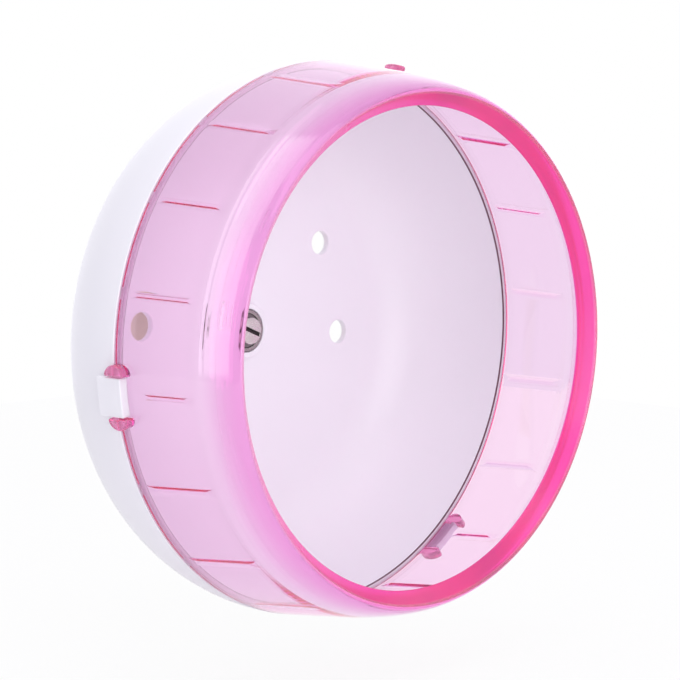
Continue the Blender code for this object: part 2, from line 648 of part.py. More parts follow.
# Turned pieces are modelled with the axle along their own Z, which this empty lays along -Y
AXLE = make_empty("axle_line", (0.0, 0.0, 0.0), rotation=(math.pi / 2, 0.0, 0.0))
WHEEL = make_empty("wheel_axis", (0.0, 0.0, 0.0), AXLE)
CLAMP = make_empty("clamp_slide_axis", (0.0, 0.0, 0.0), AXLE)
WING = make_empty("wing_nut_axis", (0.0, 0.0, 0.0), CLAMP)

front_ring(WHEEL)
back_bowl(WHEEL)
for number, latch_angle in enumerate(latch_angles(), start=1):
    latch_tab(number, latch_angle, WHEEL)

for bearing, bearing_back in (("front", FRONT_BEARING_BACK), ("rear", REAR_BEARING_BACK)):
    train = make_empty(f"{bearing}_ball_axis", (0.0, 0.0, 0.0), AXLE)
    bearing_races(bearing, bearing_back, AXLE, WHEEL)
    bearing_shields(bearing, bearing_back, WHEEL)
    balls(bearing, bearing_back, train)
    ball_cage(bearing, bearing_back, train)

axle_screw(AXLE)
sleeves(AXLE)
inner_clamp_plate(AXLE)
lock_nut(AXLE)
outer_clamp_plate(CLAMP)
wing_nut(WING)
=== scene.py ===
"""Hamster wheel: the finished surfaces of its ring, bowl, latches, bearings, screw and wall clamp.

Metres, +Z up. The axle lies along Y and the mouth faces -Y. Axial places are counted forward from the
cage wall, towards the mouth. Angles round the axle are seen from the front, from +X towards +Z.
"""

import math

import bmesh
import bpy
from mathutils import Matrix, Vector

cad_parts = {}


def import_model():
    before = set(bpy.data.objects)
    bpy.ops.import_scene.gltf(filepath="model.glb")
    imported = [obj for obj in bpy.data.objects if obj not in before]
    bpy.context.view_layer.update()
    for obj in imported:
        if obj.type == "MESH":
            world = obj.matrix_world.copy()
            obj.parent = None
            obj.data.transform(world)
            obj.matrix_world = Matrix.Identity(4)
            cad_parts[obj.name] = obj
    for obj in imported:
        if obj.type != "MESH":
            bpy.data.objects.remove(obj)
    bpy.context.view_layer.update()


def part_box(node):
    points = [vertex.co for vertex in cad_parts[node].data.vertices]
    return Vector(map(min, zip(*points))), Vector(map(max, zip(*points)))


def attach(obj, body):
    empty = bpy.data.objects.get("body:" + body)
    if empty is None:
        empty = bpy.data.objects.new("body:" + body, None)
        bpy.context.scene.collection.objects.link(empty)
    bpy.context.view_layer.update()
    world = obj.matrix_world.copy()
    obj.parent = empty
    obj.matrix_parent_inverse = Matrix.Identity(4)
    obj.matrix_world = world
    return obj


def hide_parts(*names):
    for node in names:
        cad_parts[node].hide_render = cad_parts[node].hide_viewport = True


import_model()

MILLIMETRE = 0.001
ORIGIN = Vector((0.0, 0.0, 0.0))
FORWARD = Vector((0.0, -1.0, 0.0))
UPWARD = Vector((0.0, 0.0, 1.0))
LEFTWARD = Vector((-1.0, 0.0, 0.0))
SEAT_GAP = 0.3 * MILLIMETRE

# Clear front ring
RING_WALL = 1.7 * MILLIMETRE
RING_DEPTH = 36.7 * MILLIMETRE
RING_CONE_DEPTH = 21.0 * MILLIMETRE
RING_TAPER = math.radians(6.5)
NOSE_RADIUS = 62.6 * MILLIMETRE
NOSE_WIDTH = 2.3 * MILLIMETRE
NOSE_ROUND = 2.0 * MILLIMETRE
SHOULDER_REACH = 5.0 * MILLIMETRE
MOUTH_RADIUS = 59.0 * MILLIMETRE
MOUTH_SETBACK = 3.7 * MILLIMETRE
MOUTH_ROUND = 0.6 * MILLIMETRE
RIM_BACK_SLOPE = math.radians(45.0)
RIM_COVE = 8.0 * MILLIMETRE
RING_EDGE_ROUND = 0.8 * MILLIMETRE

# Tread ribs
RIB_COUNT = 18
RIB_START_ANGLE = math.radians(6.75)
RIB_WIDTH = 1.8 * MILLIMETRE
RIB_TOP_WIDTH = 0.6 * MILLIMETRE
RIB_HEIGHT = 0.45 * MILLIMETRE
RIB_END_RUN = 2.5 * MILLIMETRE
RIB_BACK = 2.4 * MILLIMETRE
RIB_LATCH_BACK = 6.8 * MILLIMETRE
RIB_FRONT = 22.6 * MILLIMETRE
RIB_ROUND = 0.08 * MILLIMETRE

# White bowl
BOWL_WALL = 2.0 * MILLIMETRE
BOWL_STRAIGHT = 1.7 * MILLIMETRE
BOWL_ROUND = 24.6 * MILLIMETRE
SPIGOT_LENGTH = 0.8 * MILLIMETRE
SPIGOT_WALL = 1.0 * MILLIMETRE
BOWL_EDGE_ROUND = 0.3 * MILLIMETRE
HUB_WALL = 1.5 * MILLIMETRE
HUB_PROUD = 2.9 * MILLIMETRE
HUB_COVE = 1.6 * MILLIMETRE
HUB_EDGE_ROUND = 0.4 * MILLIMETRE
RIGHT_VENT_RADIUS = 3.1 * MILLIMETRE
RIGHT_VENT_CIRCLE = 36.4 * MILLIMETRE
RIGHT_VENT_ANGLES = (math.radians(-4.9), math.radians(35.7))
LEFT_VENT_RADIUS = 3.6 * MILLIMETRE
LEFT_VENT_CIRCLE = 32.9 * MILLIMETRE
LEFT_VENT_ANGLE = math.radians(174.5)
VENT_EDGE_ROUND = 0.35 * MILLIMETRE

# Snap latches
LATCH_COUNT = 3
LATCH_START_ANGLE = math.radians(66.75)
TAB_WIDTH = 9.4 * MILLIMETRE
TAB_THICKNESS = 1.4 * MILLIMETRE
TAB_REACH = 4.0 * MILLIMETRE
TAB_ROOT = 4.5 * MILLIMETRE
HOOK_LENGTH = 1.2 * MILLIMETRE
HOOK_DEPTH = 0.4 * MILLIMETRE
TAB_ROUND = 0.35 * MILLIMETRE
BOSS_LENGTH = 6.7 * MILLIMETRE
BOSS_WIDTH = 2.8 * MILLIMETRE
BOSS_RISE = 2.2 * MILLIMETRE
BOSS_REACH = 5.4 * MILLIMETRE
BOSS_ROOT = RING_WALL / 3
BOSS_ROUND = 0.5 * MILLIMETRE
BOSS_UNDERCUT = 0.5 * MILLIMETRE

# Bearings, screw and clamp
SHANK_RADIUS = 1.95 * MILLIMETRE
BORE_RADIUS = 2.05 * MILLIMETRE
SLIDING_BORE_RADIUS = 2.15 * MILLIMETRE
PRESS_GAP = 0.2 * MILLIMETRE
RACE_WALL = 1.0 * MILLIMETRE
RACE_ROUND = 0.2 * MILLIMETRE
GROOVE_DEPTH = 0.3 * MILLIMETRE
BALL_COUNT = 7
BALL_GAP = 0.15 * MILLIMETRE
SHIELD_STEP = 0.12 * MILLIMETRE
SHIELD_RIM_WIDTH = 0.35 * MILLIMETRE
SHIELD_BORE_GAP = 0.25 * MILLIMETRE
CAGE_WIDTH = 0.7 * MILLIMETRE
CAGE_FINGER_THICKNESS = 0.42 * MILLIMETRE
CAGE_FINGER_GAP = 0.3 * MILLIMETRE
CAGE_FINGER_ROUND = CAGE_FINGER_THICKNESS / 5
CAGE_BAND = 0.35 * MILLIMETRE
SLOT_WIDTH = 1.1 * MILLIMETRE
SLOT_DEPTH = 0.9 * MILLIMETRE
SLOT_ANGLE = math.radians(-22.5)
HEAD_HEIGHT = 1.4 * MILLIMETRE
HEAD_ROUND = 0.35 * MILLIMETRE
TIP_CHAMFER = 0.5 * MILLIMETRE
THREAD_PITCH = 0.7 * MILLIMETRE
THREAD_DEPTH = 0.32 * MILLIMETRE
THREAD_HALF_WIDTH = 0.42 * THREAD_PITCH
THREAD_END = 0.0
FLANGE_THICKNESS = 1.4 * MILLIMETRE
STANDOFF_WALL = 1.3 * MILLIMETRE
PLATE_RIM_WIDTH = 2.5 * MILLIMETRE
PLATE_WEB = 3.0 * MILLIMETRE
PLATE_HUB_RADIUS = 8.0 * MILLIMETRE
PLATE_ROUND = 1.0 * MILLIMETRE
PLATE_RIB_COUNT = 8
PLATE_RIB_WIDTH = 1.6 * MILLIMETRE
PLATE_RIB_HEIGHT = 2.0 * MILLIMETRE
NUT_SIDES = 6
NUT_FLATS = 7.0 * MILLIMETRE
NUT_CORNERS = NUT_FLATS / math.cos(math.pi / NUT_SIDES)
NUT_CHAMFER = 0.4 * MILLIMETRE
WING_BOSS_RADIUS = 4.8 * MILLIMETRE
WING_BOSS_LENGTH = 6.0 * MILLIMETRE
WING_RADIUS = 6.0 * MILLIMETRE
WING_OFFSET = 8.8 * MILLIMETRE
WING_THICKNESS = 2.4 * MILLIMETRE
WING_CLEARANCE = 0.8 * MILLIMETRE
WING_ROUND = 0.9 * MILLIMETRE
SMALL_ROUND = 0.2 * MILLIMETRE

# Fineness of the meshes
WHEEL_STEPS = 240
BEARING_STEPS = 64
PLATE_STEPS = 96
CURVE_POINTS = 22
CORNER_POINTS = 6
CORNER_SHARE = 0.49
EDGE_STEPS = 3
BROAD_EDGE_STEPS = 4
SHARP_ANGLE = math.radians(40.0)
RIDGE_SHARP_ANGLE = math.radians(15.0)
THREAD_STEPS = 24
BALL_DIVISIONS = 4
SMOOTH_ANGLE = math.radians(32.0)
NORMAL_WEIGHT = 90
MERGE_DISTANCE = 0.002 * MILLIMETRE
OVERCUT = 4.0 * MILLIMETRE

# Finish of the clear plastic
CLEAR_IOR = 1.52
CLEAR_TINT = (0.985, 0.970, 0.978)
THICK_TINT = (1.0, 0.0, 0.78)
THICK_TINT_DENSITY = 135.0
HANDLING_SCALE = 260.0
HANDLING_STRETCH = (1.0, 4.0, 1.0)
HANDLING_ROUGHNESS = 0.05
WAVE_SCALE = 45.0
WAVE_DEPTH = 0.02 * MILLIMETRE
WAVE_STRENGTH = 0.10
LINE_SPACING = 2.0 * MILLIMETRE
LINE_DEPTH = 0.1 * MILLIMETRE
LINE_STRENGTH = 0.8
MOUTH_PINK = (1.0, 0.08, 0.40)
MOUTH_ROUGHNESS = 0.22
MOUTH_CLARITY = 0.55
BOSS_HAZE = 0.7

# Finish of the opaque plastics and the metals
PLASTIC_IOR = 1.5
FLOW_SCALE = 18.0
FLOW_ROUGHNESS = 0.05
GRAIN_SCALE = 1600.0
GRAIN_STRENGTH = 0.25
TARNISH_SCALE = 900.0
TARNISH_GLOSS = 0.08
TARNISH_ROUGHNESS = 0.1
TURNING_DEPTH = 0.01 * MILLIMETRE
TURNING_STRENGTH = 0.3
TURNING_WANDER = 1.5
NOISE_LOW = 0.3
NOISE_HIGH = 0.7
LIP_SHADE = (0.13, 0.05, 0.08)
LIP_SHADE_WIDTH = 0.4 * MILLIMETRE
LIP_SHADE_DEPTH = 0.15 * MILLIMETRE
SLOT_SHADE = (0.05, 0.045, 0.045)
SHADE_BLUR = 0.1 * MILLIMETRE

# Camera, as in the photograph
CAMERA_AZIMUTH = math.radians(-45.09)
CAMERA_ELEVATION = math.radians(6.14)
CAMERA_DISTANCE = 657.4 * MILLIMETRE
CAMERA_RIGHT = -19.36 * MILLIMETRE
CAMERA_UP = 2.19 * MILLIMETRE
CAMERA_TARGET = Vector((0.0, -86.5 * MILLIMETRE, 0.0))
CAMERA_LENS = 142.7
CAMERA_SENSOR = 36.0
CAMERA_NEAREST = 10.0 * MILLIMETRE

# Floor
FLOOR_DROP = 82.0 * MILLIMETRE
FLOOR_FORWARD = 50.0 * MILLIMETRE
FLOOR_SIZE = 0.9
FLOOR_COLOUR = (0.92, 0.92, 0.92)
FLOOR_ROUGHNESS = 0.6
FLOOR_GLOW = 0.9

# Room: its light, what gloss shows, what clear plastic shows, and what stands behind the wheel
LIGHT_COLOUR = (0.93, 0.92, 1.0)
LIGHT_SIDE = Vector((0.60, -0.75, 0.20))
LIGHT_STRENGTHS = (0.70, 1.00)
SHEEN_COLOUR = (0.95, 0.95, 0.98)
SHEEN_SIDE = Vector((0.80, 0.50, 0.25))
SHEEN_STRENGTHS = (0.50, 1.50)
WALL_COLOUR = (0.90, 0.91, 0.95)
BACKDROP_COLOUR = (1.0, 1.0, 1.0)
BOUNCES = 96

# Window seen in glossy surfaces
WINDOW_BACK = -0.42
WINDOW_FRONT = -0.06
WINDOW_BOTTOM = -0.12
WINDOW_BLUR = 0.05
WINDOW_STRENGTH = 2.4


def axial_reach(node):
    """Back and front of a CAD node along the axle, counted forward."""
    low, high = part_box(node)
    return -high.y, -low.y


def node_radius(node):
    low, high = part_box(node)
    return (high.x - low.x) / 2


# Sizes that follow from the CAD nodes
WHEEL_RADIUS = node_radius("back_bowl")
SEAM = axial_reach("back_bowl")[1] - SPIGOT_LENGTH
RIM_FRONT = SEAM + RING_DEPTH
MOUTH_FRONT = RIM_FRONT - MOUTH_SETBACK
HUB_BACK = axial_reach("back_bowl")[0]
HUB_FRONT = axial_reach("front_outer_race")[1]
BACK_INSIDE = HUB_FRONT - HUB_PROUD
BACK_OUTSIDE = BACK_INSIDE - BOWL_WALL
BEARING_RADIUS = node_radius("front_outer_race")
HUB_BORE = BEARING_RADIUS + PRESS_GAP
HUB_RADIUS = HUB_BORE + HUB_WALL
INNER_LAND = BORE_RADIUS + RACE_WALL
OUTER_LAND = BEARING_RADIUS - RACE_WALL
PITCH_RADIUS = (INNER_LAND + OUTER_LAND) / 2
GROOVE_RADIUS = (OUTER_LAND - INNER_LAND) / 2 + GROOVE_DEPTH
BALL_RADIUS = GROOVE_RADIUS - BALL_GAP
TAB_UNDERSIDE = WHEEL_RADIUS + SEAT_GAP
TAB_HALF_ANGLE = TAB_WIDTH / 2 / WHEEL_RADIUS
BOSS_HALF_ANGLE = TAB_HALF_ANGLE + SEAT_GAP / WHEEL_RADIUS
PLATE_RADIUS = node_radius("inner_clamp_plate")
LATCH_ANGLES = [LATCH_START_ANGLE + 2 * math.pi * index / LATCH_COUNT for index in range(LATCH_COUNT)]


# Shapes

def outward_at(angle):
    return Vector((math.cos(angle), 0.0, math.sin(angle)))


def sideways_at(angle):
    return Vector((-math.sin(angle), 0.0, math.cos(angle)))


def axle_point(radius, forward, angle=0.0):
    return outward_at(angle) * radius + FORWARD * forward


def placement(x_axis, y_axis, z_axis, origin):
    matrix = Matrix((x_axis, y_axis, z_axis)).transposed().to_4x4()
    matrix.translation = origin
    return matrix


def ring_inner_radius(distance):
    """Radius of the ring's inner side at a distance forward of the seam, along its straight stretch."""
    return WHEEL_RADIUS - distance * math.tan(RING_TAPER) - RING_WALL / math.cos(RING_TAPER)


def curve(points, count):
    """Points of a cubic curve with four control points."""
    line = []
    for index in range(count):
        t = index / (count - 1)
        weights = ((1 - t) ** 3, 3 * t * (1 - t) ** 2, 3 * t * t * (1 - t), t ** 3)
        line.append(tuple(sum(w * p[axis] for w, p in zip(weights, points)) for axis in (0, 1)))
    return line


def arc(centre, radii, start, end, count):
    line = []
    for index in range(count):
        angle = start + (end - start) * index / (count - 1)
        line.append((centre[0] + radii[0] * math.cos(angle), centre[1] + radii[1] * math.sin(angle)))
    return line


def rounded(corners):
    """Closed outline through corners, each (radius, forward) or (radius, forward, rounding)."""
    line = []
    for index, corner in enumerate(corners):
        here = Vector(corner[:2])
        rounding = corner[2] if len(corner) > 2 else 0.0
        if not rounding:
            line.append(tuple(here))
            continue
        before = Vector(corners[index - 1][:2]) - here
        after = Vector(corners[(index + 1) % len(corners)][:2]) - here
        half = before.angle(after) / 2
        longest = CORNER_SHARE * min(before.length, after.length)
        length = min(rounding / math.tan(half), longest)
        start = here + before.normalized() * length
        end = here + after.normalized() * length
        for step in range(CORNER_POINTS):
            t = step / (CORNER_POINTS - 1)
            line.append(tuple(start * (1 - t) ** 2 + here * 2 * t * (1 - t) + end * t * t))
    return line


def tidy(bm):
    """Close the seam and the poles, and turn the faces outwards."""
    bmesh.ops.remove_doubles(bm, verts=bm.verts, dist=MERGE_DISTANCE)
    bmesh.ops.dissolve_degenerate(bm, edges=bm.edges, dist=MERGE_DISTANCE / 2)
    bmesh.ops.recalc_face_normals(bm, faces=bm.faces)
    return bm


def turned(outline, steps, centre=ORIGIN, bm=None):
    """Spin a (radius, forward) outline all the way round an axis along Y.

    An outline that starts on the axis also ends there, and any other is closed.
    """
    bm = bm or bmesh.new()
    verts = [bm.verts.new(centre + axle_point(radius, forward)) for radius, forward in outline]
    on_axis = outline[0][0] == 0.0
    edges = [bm.edges.new(pair) for pair in zip(verts, verts[1:] if on_axis else verts[1:] + verts[:1])]
    bmesh.ops.spin(bm, geom=verts + edges, cent=centre, axis=(0.0, 1.0, 0.0), angle=2 * math.pi,
                   steps=steps, use_merge=True)
    return tidy(bm)


def round_bar(radius, back, front):
    return turned([(0.0, back), (radius, back), (radius, front), (0.0, front)], BEARING_STEPS)


def bevel_sharp(bm, width, segments, angle=SHARP_ANGLE):
    """Round every edge that is sharper than an angle."""
    edges = [edge for edge in bm.edges if edge.is_manifold and edge.calc_face_angle() > angle]
    bmesh.ops.bevel(bm, geom=edges, offset=width, offset_type="OFFSET", segments=segments, profile=0.5,
                    affect="EDGES", clamp_overlap=True, material=-1)


def rounded_box(bm, matrix, size, width):
    """Add a box with rounded edges, placed by a matrix."""
    box = bmesh.new()
    bmesh.ops.create_cube(box, size=1.0, matrix=Matrix.Diagonal((*size, 1.0)))
    bevel_sharp(box, width, EDGE_STEPS)
    add_shape(bm, box, matrix)


def ridge(bm, matrix, length, foot, top, height, run, width):
    """Add a bar whose sides and ends draw in from its foot at +y to its top at -y, with rounded edges."""
    bar = bmesh.new()
    bmesh.ops.create_cube(bar, size=1.0, matrix=Matrix.Diagonal((length, height, foot, 1.0)))
    narrow = [vert for vert in bar.verts if vert.co.y < 0]
    bmesh.ops.scale(bar, verts=narrow, vec=((length - 2 * run) / length, 1.0, top / foot))
    bevel_sharp(bar, width, EDGE_STEPS, RIDGE_SHARP_ANGLE)
    add_shape(bm, bar, matrix)


def new_mesh(name, bm):
    """Turn a bmesh into a mesh, and free the bmesh."""
    mesh = bpy.data.meshes.new(name)
    bm.to_mesh(mesh)
    bm.free()
    return mesh


def new_object(name, data):
    obj = bpy.data.objects.new(name, data)
    bpy.context.scene.collection.objects.link(obj)
    return obj


def add_shape(bm, shape, matrix=Matrix.Identity(4)):
    """Place a shape by a matrix, turn its faces outwards and move it into another bmesh."""
    shape.transform(matrix)
    bmesh.ops.recalc_face_normals(shape, faces=shape.faces)
    mesh = new_mesh("shape", shape)
    bm.from_mesh(mesh)
    bpy.data.meshes.remove(mesh)


def combined(bm, other, operation):
    """Boolean of two closed shapes."""
    base = new_object("base", new_mesh("base", bm))
    tool = new_object("tool", new_mesh("tool", other))
    modifier = base.modifiers.new("combine", "BOOLEAN")
    modifier.operation = operation
    modifier.solver = "EXACT"
    modifier.object = tool
    depsgraph = bpy.context.evaluated_depsgraph_get()
    mesh = bpy.data.meshes.new_from_object(base.evaluated_get(depsgraph), depsgraph=depsgraph)
    result = bmesh.new()
    result.from_mesh(mesh)
    bpy.data.meshes.remove(mesh)
    for obj in (base, tool):
        data = obj.data
        bpy.data.objects.remove(obj, do_unlink=True)
        bpy.data.meshes.remove(data)
    return result


def finish_piece(name, bm, material, body, node):
    """Make a bmesh a visible piece that stands for a CAD node and moves with its body."""
    mesh = new_mesh(name, bm)
    mesh.materials.append(material)
    mesh.shade_smooth()
    mesh.set_sharp_from_angle(angle=SMOOTH_ANGLE)
    piece = new_object(name, mesh)
    weighted = piece.modifiers.new("weighted_normals", "WEIGHTED_NORMAL")
    weighted.weight = NORMAL_WEIGHT
    weighted.keep_sharp = True
    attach(piece, body)
    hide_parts(node)


def turned_piece(name, corners, material, body, node, steps=BEARING_STEPS):
    """A finished piece that is turned about the axle from an outline with rounded corners."""
    finish_piece(name, turned(rounded(corners), steps), material, body, node)


# Materials

def new_material(name):
    material = bpy.data.materials.new(name)
    material.use_nodes = True
    shader = material.node_tree.nodes["Principled BSDF"]
    return material, material.node_tree, shader


def noise(tree, scale, detail, stretch=(1.0, 1.0, 1.0)):
    """Noise on the piece's own coordinates; scale is in features per metre."""
    place = tree.nodes.new("ShaderNodeTexCoord")
    mapping = tree.nodes.new("ShaderNodeMapping")
    mapping.inputs["Scale"].default_value = stretch
    texture = tree.nodes.new("ShaderNodeTexNoise")
    texture.inputs["Scale"].default_value = scale
    texture.inputs["Detail"].default_value = detail
    tree.links.new(place.outputs["Object"], mapping.inputs["Vector"])
    tree.links.new(mapping.outputs["Vector"], texture.inputs["Vector"])
    return texture.outputs["Fac"]


def turning_marks(tree, scale):
    """Concentric rings about the axle, such as a lathe leaves."""
    place = tree.nodes.new("ShaderNodeTexCoord")
    rings = tree.nodes.new("ShaderNodeTexWave")
    rings.wave_type = "RINGS"
    rings.rings_direction = "Y"
    rings.inputs["Scale"].default_value = scale
    rings.inputs["Distortion"].default_value = TURNING_WANDER
    rings.inputs["Detail"].default_value = 2.0
    tree.links.new(place.outputs["Object"], rings.inputs["Vector"])
    return rings.outputs["Fac"]


def spread(tree, value, low, high, start=NOISE_LOW, end=NOISE_HIGH):
    """Map a value between a start and an end onto a range, and hold it there beyond them."""
    ranged = tree.nodes.new("ShaderNodeMapRange")
    ranged.inputs["From Min"].default_value = start
    ranged.inputs["From Max"].default_value = end
    ranged.inputs["To Min"].default_value = low
    ranged.inputs["To Max"].default_value = high
    tree.links.new(value, ranged.inputs["Value"])
    return ranged.outputs["Result"]


def rising(tree, value, start, end):
    return spread(tree, value, 0.0, 1.0, start, end)


def falling(tree, value, start, end):
    return spread(tree, value, 1.0, 0.0, start, end)


def joined(tree, operation, first, second):
    """Join two values by one operation."""
    node = tree.nodes.new("ShaderNodeMath")
    node.operation = operation
    tree.links.new(first, node.inputs[0])
    tree.links.new(second, node.inputs[1])
    return node.outputs["Value"]


def reach_along(tree, coordinates, direction):
    """How far the shaded point, or a direction in the room, reaches along a direction."""
    place = tree.nodes.new("ShaderNodeTexCoord")
    reach = tree.nodes.new("ShaderNodeVectorMath")
    reach.operation = "DOT_PRODUCT"
    reach.inputs[1].default_value = direction.normalized()
    tree.links.new(place.outputs[coordinates], reach.inputs[0])
    return reach.outputs["Value"]


def axle_place(tree):
    """Distance from the axle, and place along it counted forward, of the point that is shaded."""
    place = tree.nodes.new("ShaderNodeTexCoord")
    flat = tree.nodes.new("ShaderNodeVectorMath")
    flat.operation = "MULTIPLY"
    flat.inputs[1].default_value = (1.0, 0.0, 1.0)
    radius = tree.nodes.new("ShaderNodeVectorMath")
    radius.operation = "LENGTH"
    tree.links.new(place.outputs["Object"], flat.inputs[0])
    tree.links.new(flat.outputs["Vector"], radius.inputs[0])
    return radius.outputs["Value"], reach_along(tree, "Object", FORWARD)


def colour_blend(tree, share, second):
    """A blend towards a colour: the socket for the colour it starts from, and its result."""
    mix = tree.nodes.new("ShaderNodeMix")
    mix.data_type = "RGBA"
    ends = [socket for socket in mix.inputs if socket.type == "RGBA"]
    ends[1].default_value = (*second, 1.0)
    tree.links.new(share, mix.inputs["Factor"])
    return ends[0], next(socket for socket in mix.outputs if socket.type == "RGBA")


def two_tone(tree, value, first, second):
    """Blend two colours by a value from 0 to 1."""
    start, result = colour_blend(tree, rising(tree, value, 0.0, 1.0), second)
    start.default_value = (*first, 1.0)
    return result


def shade(material, mask, colour):
    """Lay a colour over a material's own where a mask is 1."""
    tree = material.node_tree
    base = tree.nodes["Principled BSDF"].inputs["Base Color"]
    start, result = colour_blend(tree, mask, colour)
    tree.links.new(base.links[0].from_socket, start)
    tree.links.new(result, base)


def bump(tree, shader, value, depth, strength):
    """Raise the surface by a texture, depth in metres, on top of any bump that it already has."""
    node = tree.nodes.new("ShaderNodeBump")
    node.inputs["Strength"].default_value = strength
    node.inputs["Distance"].default_value = depth
    tree.links.new(value, node.inputs["Height"])
    for link in shader.inputs["Normal"].links:
        tree.links.new(link.from_socket, node.inputs["Normal"])
    tree.links.new(node.outputs["Normal"], shader.inputs["Normal"])


def polishing_lines(tree, radius, forward):
    """Fine uneven rings round the ring's front, such as polishing leaves in a round mould."""
    lines = tree.nodes.new("ShaderNodeTexNoise")
    lines.noise_dimensions = "1D"
    lines.inputs["Scale"].default_value = 1.0 / LINE_SPACING
    lines.inputs["Detail"].default_value = 1.0
    tree.links.new(joined(tree, "SUBTRACT", forward, radius), lines.inputs["W"])
    cone_front = SEAM + RING_CONE_DEPTH
    at_front = rising(tree, forward, cone_front, cone_front + SHOULDER_REACH)
    return joined(tree, "MULTIPLY", lines.outputs["Fac"], at_front)


def clear_pink_plastic():
    """Polished clear moulding, tinted through its thickness, with a hazy mouth and hazy bosses."""
    material, tree, shader = new_material("clear_pink_plastic")
    shader.inputs["IOR"].default_value = CLEAR_IOR
    radius, forward = axle_place(tree)
    inside_nose = falling(tree, radius, NOSE_RADIUS - MOUTH_ROUND, NOSE_RADIUS + MOUTH_ROUND)
    before_mouth = rising(tree, forward, MOUTH_FRONT - MOUTH_ROUND, MOUTH_FRONT)
    at_mouth = joined(tree, "MULTIPLY", inside_nose, before_mouth)
    at_boss = spread(tree, radius, 0.0, BOSS_HAZE, TAB_UNDERSIDE, TAB_UNDERSIDE + BOSS_ROUND)
    hazy = joined(tree, "MAXIMUM", at_mouth, at_boss)
    satin = spread(tree, hazy, 0.0, MOUTH_ROUGHNESS, 0.0, 1.0)
    marks = noise(tree, HANDLING_SCALE, detail=6.0, stretch=HANDLING_STRETCH)
    handling = spread(tree, marks, 0.0, HANDLING_ROUGHNESS)
    clarity = spread(tree, hazy, 1.0, MOUTH_CLARITY, 0.0, 1.0)
    tree.links.new(joined(tree, "ADD", satin, handling), shader.inputs["Roughness"])
    tree.links.new(clarity, shader.inputs["Transmission Weight"])
    tree.links.new(two_tone(tree, hazy, CLEAR_TINT, MOUTH_PINK), shader.inputs["Base Color"])
    bump(tree, shader, noise(tree, WAVE_SCALE, detail=1.0), WAVE_DEPTH, WAVE_STRENGTH)
    bump(tree, shader, polishing_lines(tree, radius, forward), LINE_DEPTH, LINE_STRENGTH)
    tint = tree.nodes.new("ShaderNodeVolumeAbsorption")
    tint.inputs["Color"].default_value = (*THICK_TINT, 1.0)
    tint.inputs["Density"].default_value = THICK_TINT_DENSITY
    tree.links.new(tint.outputs["Volume"], tree.nodes["Material Output"].inputs["Volume"])
    return material


def moulded_plastic(name, light, dark, roughness, depth):
    """Opaque moulding with a fine satin grain and slight flow shading."""
    material, tree, shader = new_material(name)
    shader.inputs["IOR"].default_value = PLASTIC_IOR
    flow = noise(tree, FLOW_SCALE, detail=1.0)
    uneven = spread(tree, flow, roughness - FLOW_ROUGHNESS, roughness + FLOW_ROUGHNESS, 0.0, 1.0)
    tree.links.new(two_tone(tree, flow, light, dark), shader.inputs["Base Color"])
    tree.links.new(uneven, shader.inputs["Roughness"])
    bump(tree, shader, noise(tree, GRAIN_SCALE, detail=2.0), depth, GRAIN_STRENGTH)
    return material


def worked_metal(name, light, dark, roughness, ring_scale):
    """Metal with turning marks round the axle and slight tarnish."""
    material, tree, shader = new_material(name)
    shader.inputs["Metallic"].default_value = 1.0
    tarnish = noise(tree, TARNISH_SCALE, detail=5.0)
    uneven = spread(tree, tarnish, roughness - TARNISH_GLOSS, roughness + TARNISH_ROUGHNESS)
    tree.links.new(two_tone(tree, tarnish, light, dark), shader.inputs["Base Color"])
    tree.links.new(uneven, shader.inputs["Roughness"])
    bump(tree, shader, turning_marks(tree, ring_scale), TURNING_DEPTH, TURNING_STRENGTH)
    return material


def lip_corner(tree):
    """1 along the inner corner of the bowl's lip, where the step to the ring takes the light away."""
    radius, forward = axle_place(tree)
    start = SEAM + SPIGOT_LENGTH - LIP_SHADE_WIDTH
    corner = ring_inner_radius(SPIGOT_LENGTH) - SEAT_GAP - SPIGOT_WALL + LIP_SHADE_DEPTH
    near_front = rising(tree, forward, start - SHADE_BLUR, start)
    near_corner = falling(tree, radius, corner, corner + SHADE_BLUR)
    return joined(tree, "MULTIPLY", near_front, near_corner)


def painted_slot_shade(tree):
    """1 inside the slot of the screw head, where a darker colour is painted in as shade."""
    front = axial_reach("axle_screw")[1]
    forward = reach_along(tree, "Object", FORWARD)
    distance = tree.nodes.new("ShaderNodeMath")
    distance.operation = "ABSOLUTE"
    tree.links.new(reach_along(tree, "Object", sideways_at(SLOT_ANGLE)), distance.inputs[0])
    edge = SLOT_WIDTH / 2 + SHADE_BLUR / 2
    bottom = front - SLOT_DEPTH - 2 * SHADE_BLUR
    between = falling(tree, distance.outputs["Value"], edge, edge + SHADE_BLUR)
    sunk = falling(tree, forward, front - 2 * SHADE_BLUR, front - SHADE_BLUR)
    above_bottom = rising(tree, forward, bottom, bottom + SHADE_BLUR)
    return joined(tree, "MULTIPLY", joined(tree, "MULTIPLY", between, sunk), above_bottom)


CLEAR_PINK = clear_pink_plastic()
WHITE = moulded_plastic("white_plastic", light=(0.915, 0.900, 0.935), dark=(0.900, 0.885, 0.925),
                        roughness=0.33, depth=0.01 * MILLIMETRE)
shade(WHITE, lip_corner(WHITE.node_tree), LIP_SHADE)
IVORY = moulded_plastic("ivory_plastic", light=(0.97, 0.86, 0.71), dark=(0.94, 0.82, 0.67),
                        roughness=0.45, depth=0.02 * MILLIMETRE)
BEARING_STEEL = worked_metal("bearing_steel", light=(0.42, 0.39, 0.38), dark=(0.33, 0.30, 0.30),
                             roughness=0.24, ring_scale=1400.0)
SHIELD_STEEL = worked_metal("shield_steel", light=(0.24, 0.22, 0.22), dark=(0.17, 0.15, 0.16),
                            roughness=0.34, ring_scale=900.0)
SCREW_STEEL = worked_metal("screw_steel", light=(0.70, 0.66, 0.65), dark=(0.58, 0.54, 0.54),
                           roughness=0.28, ring_scale=1100.0)
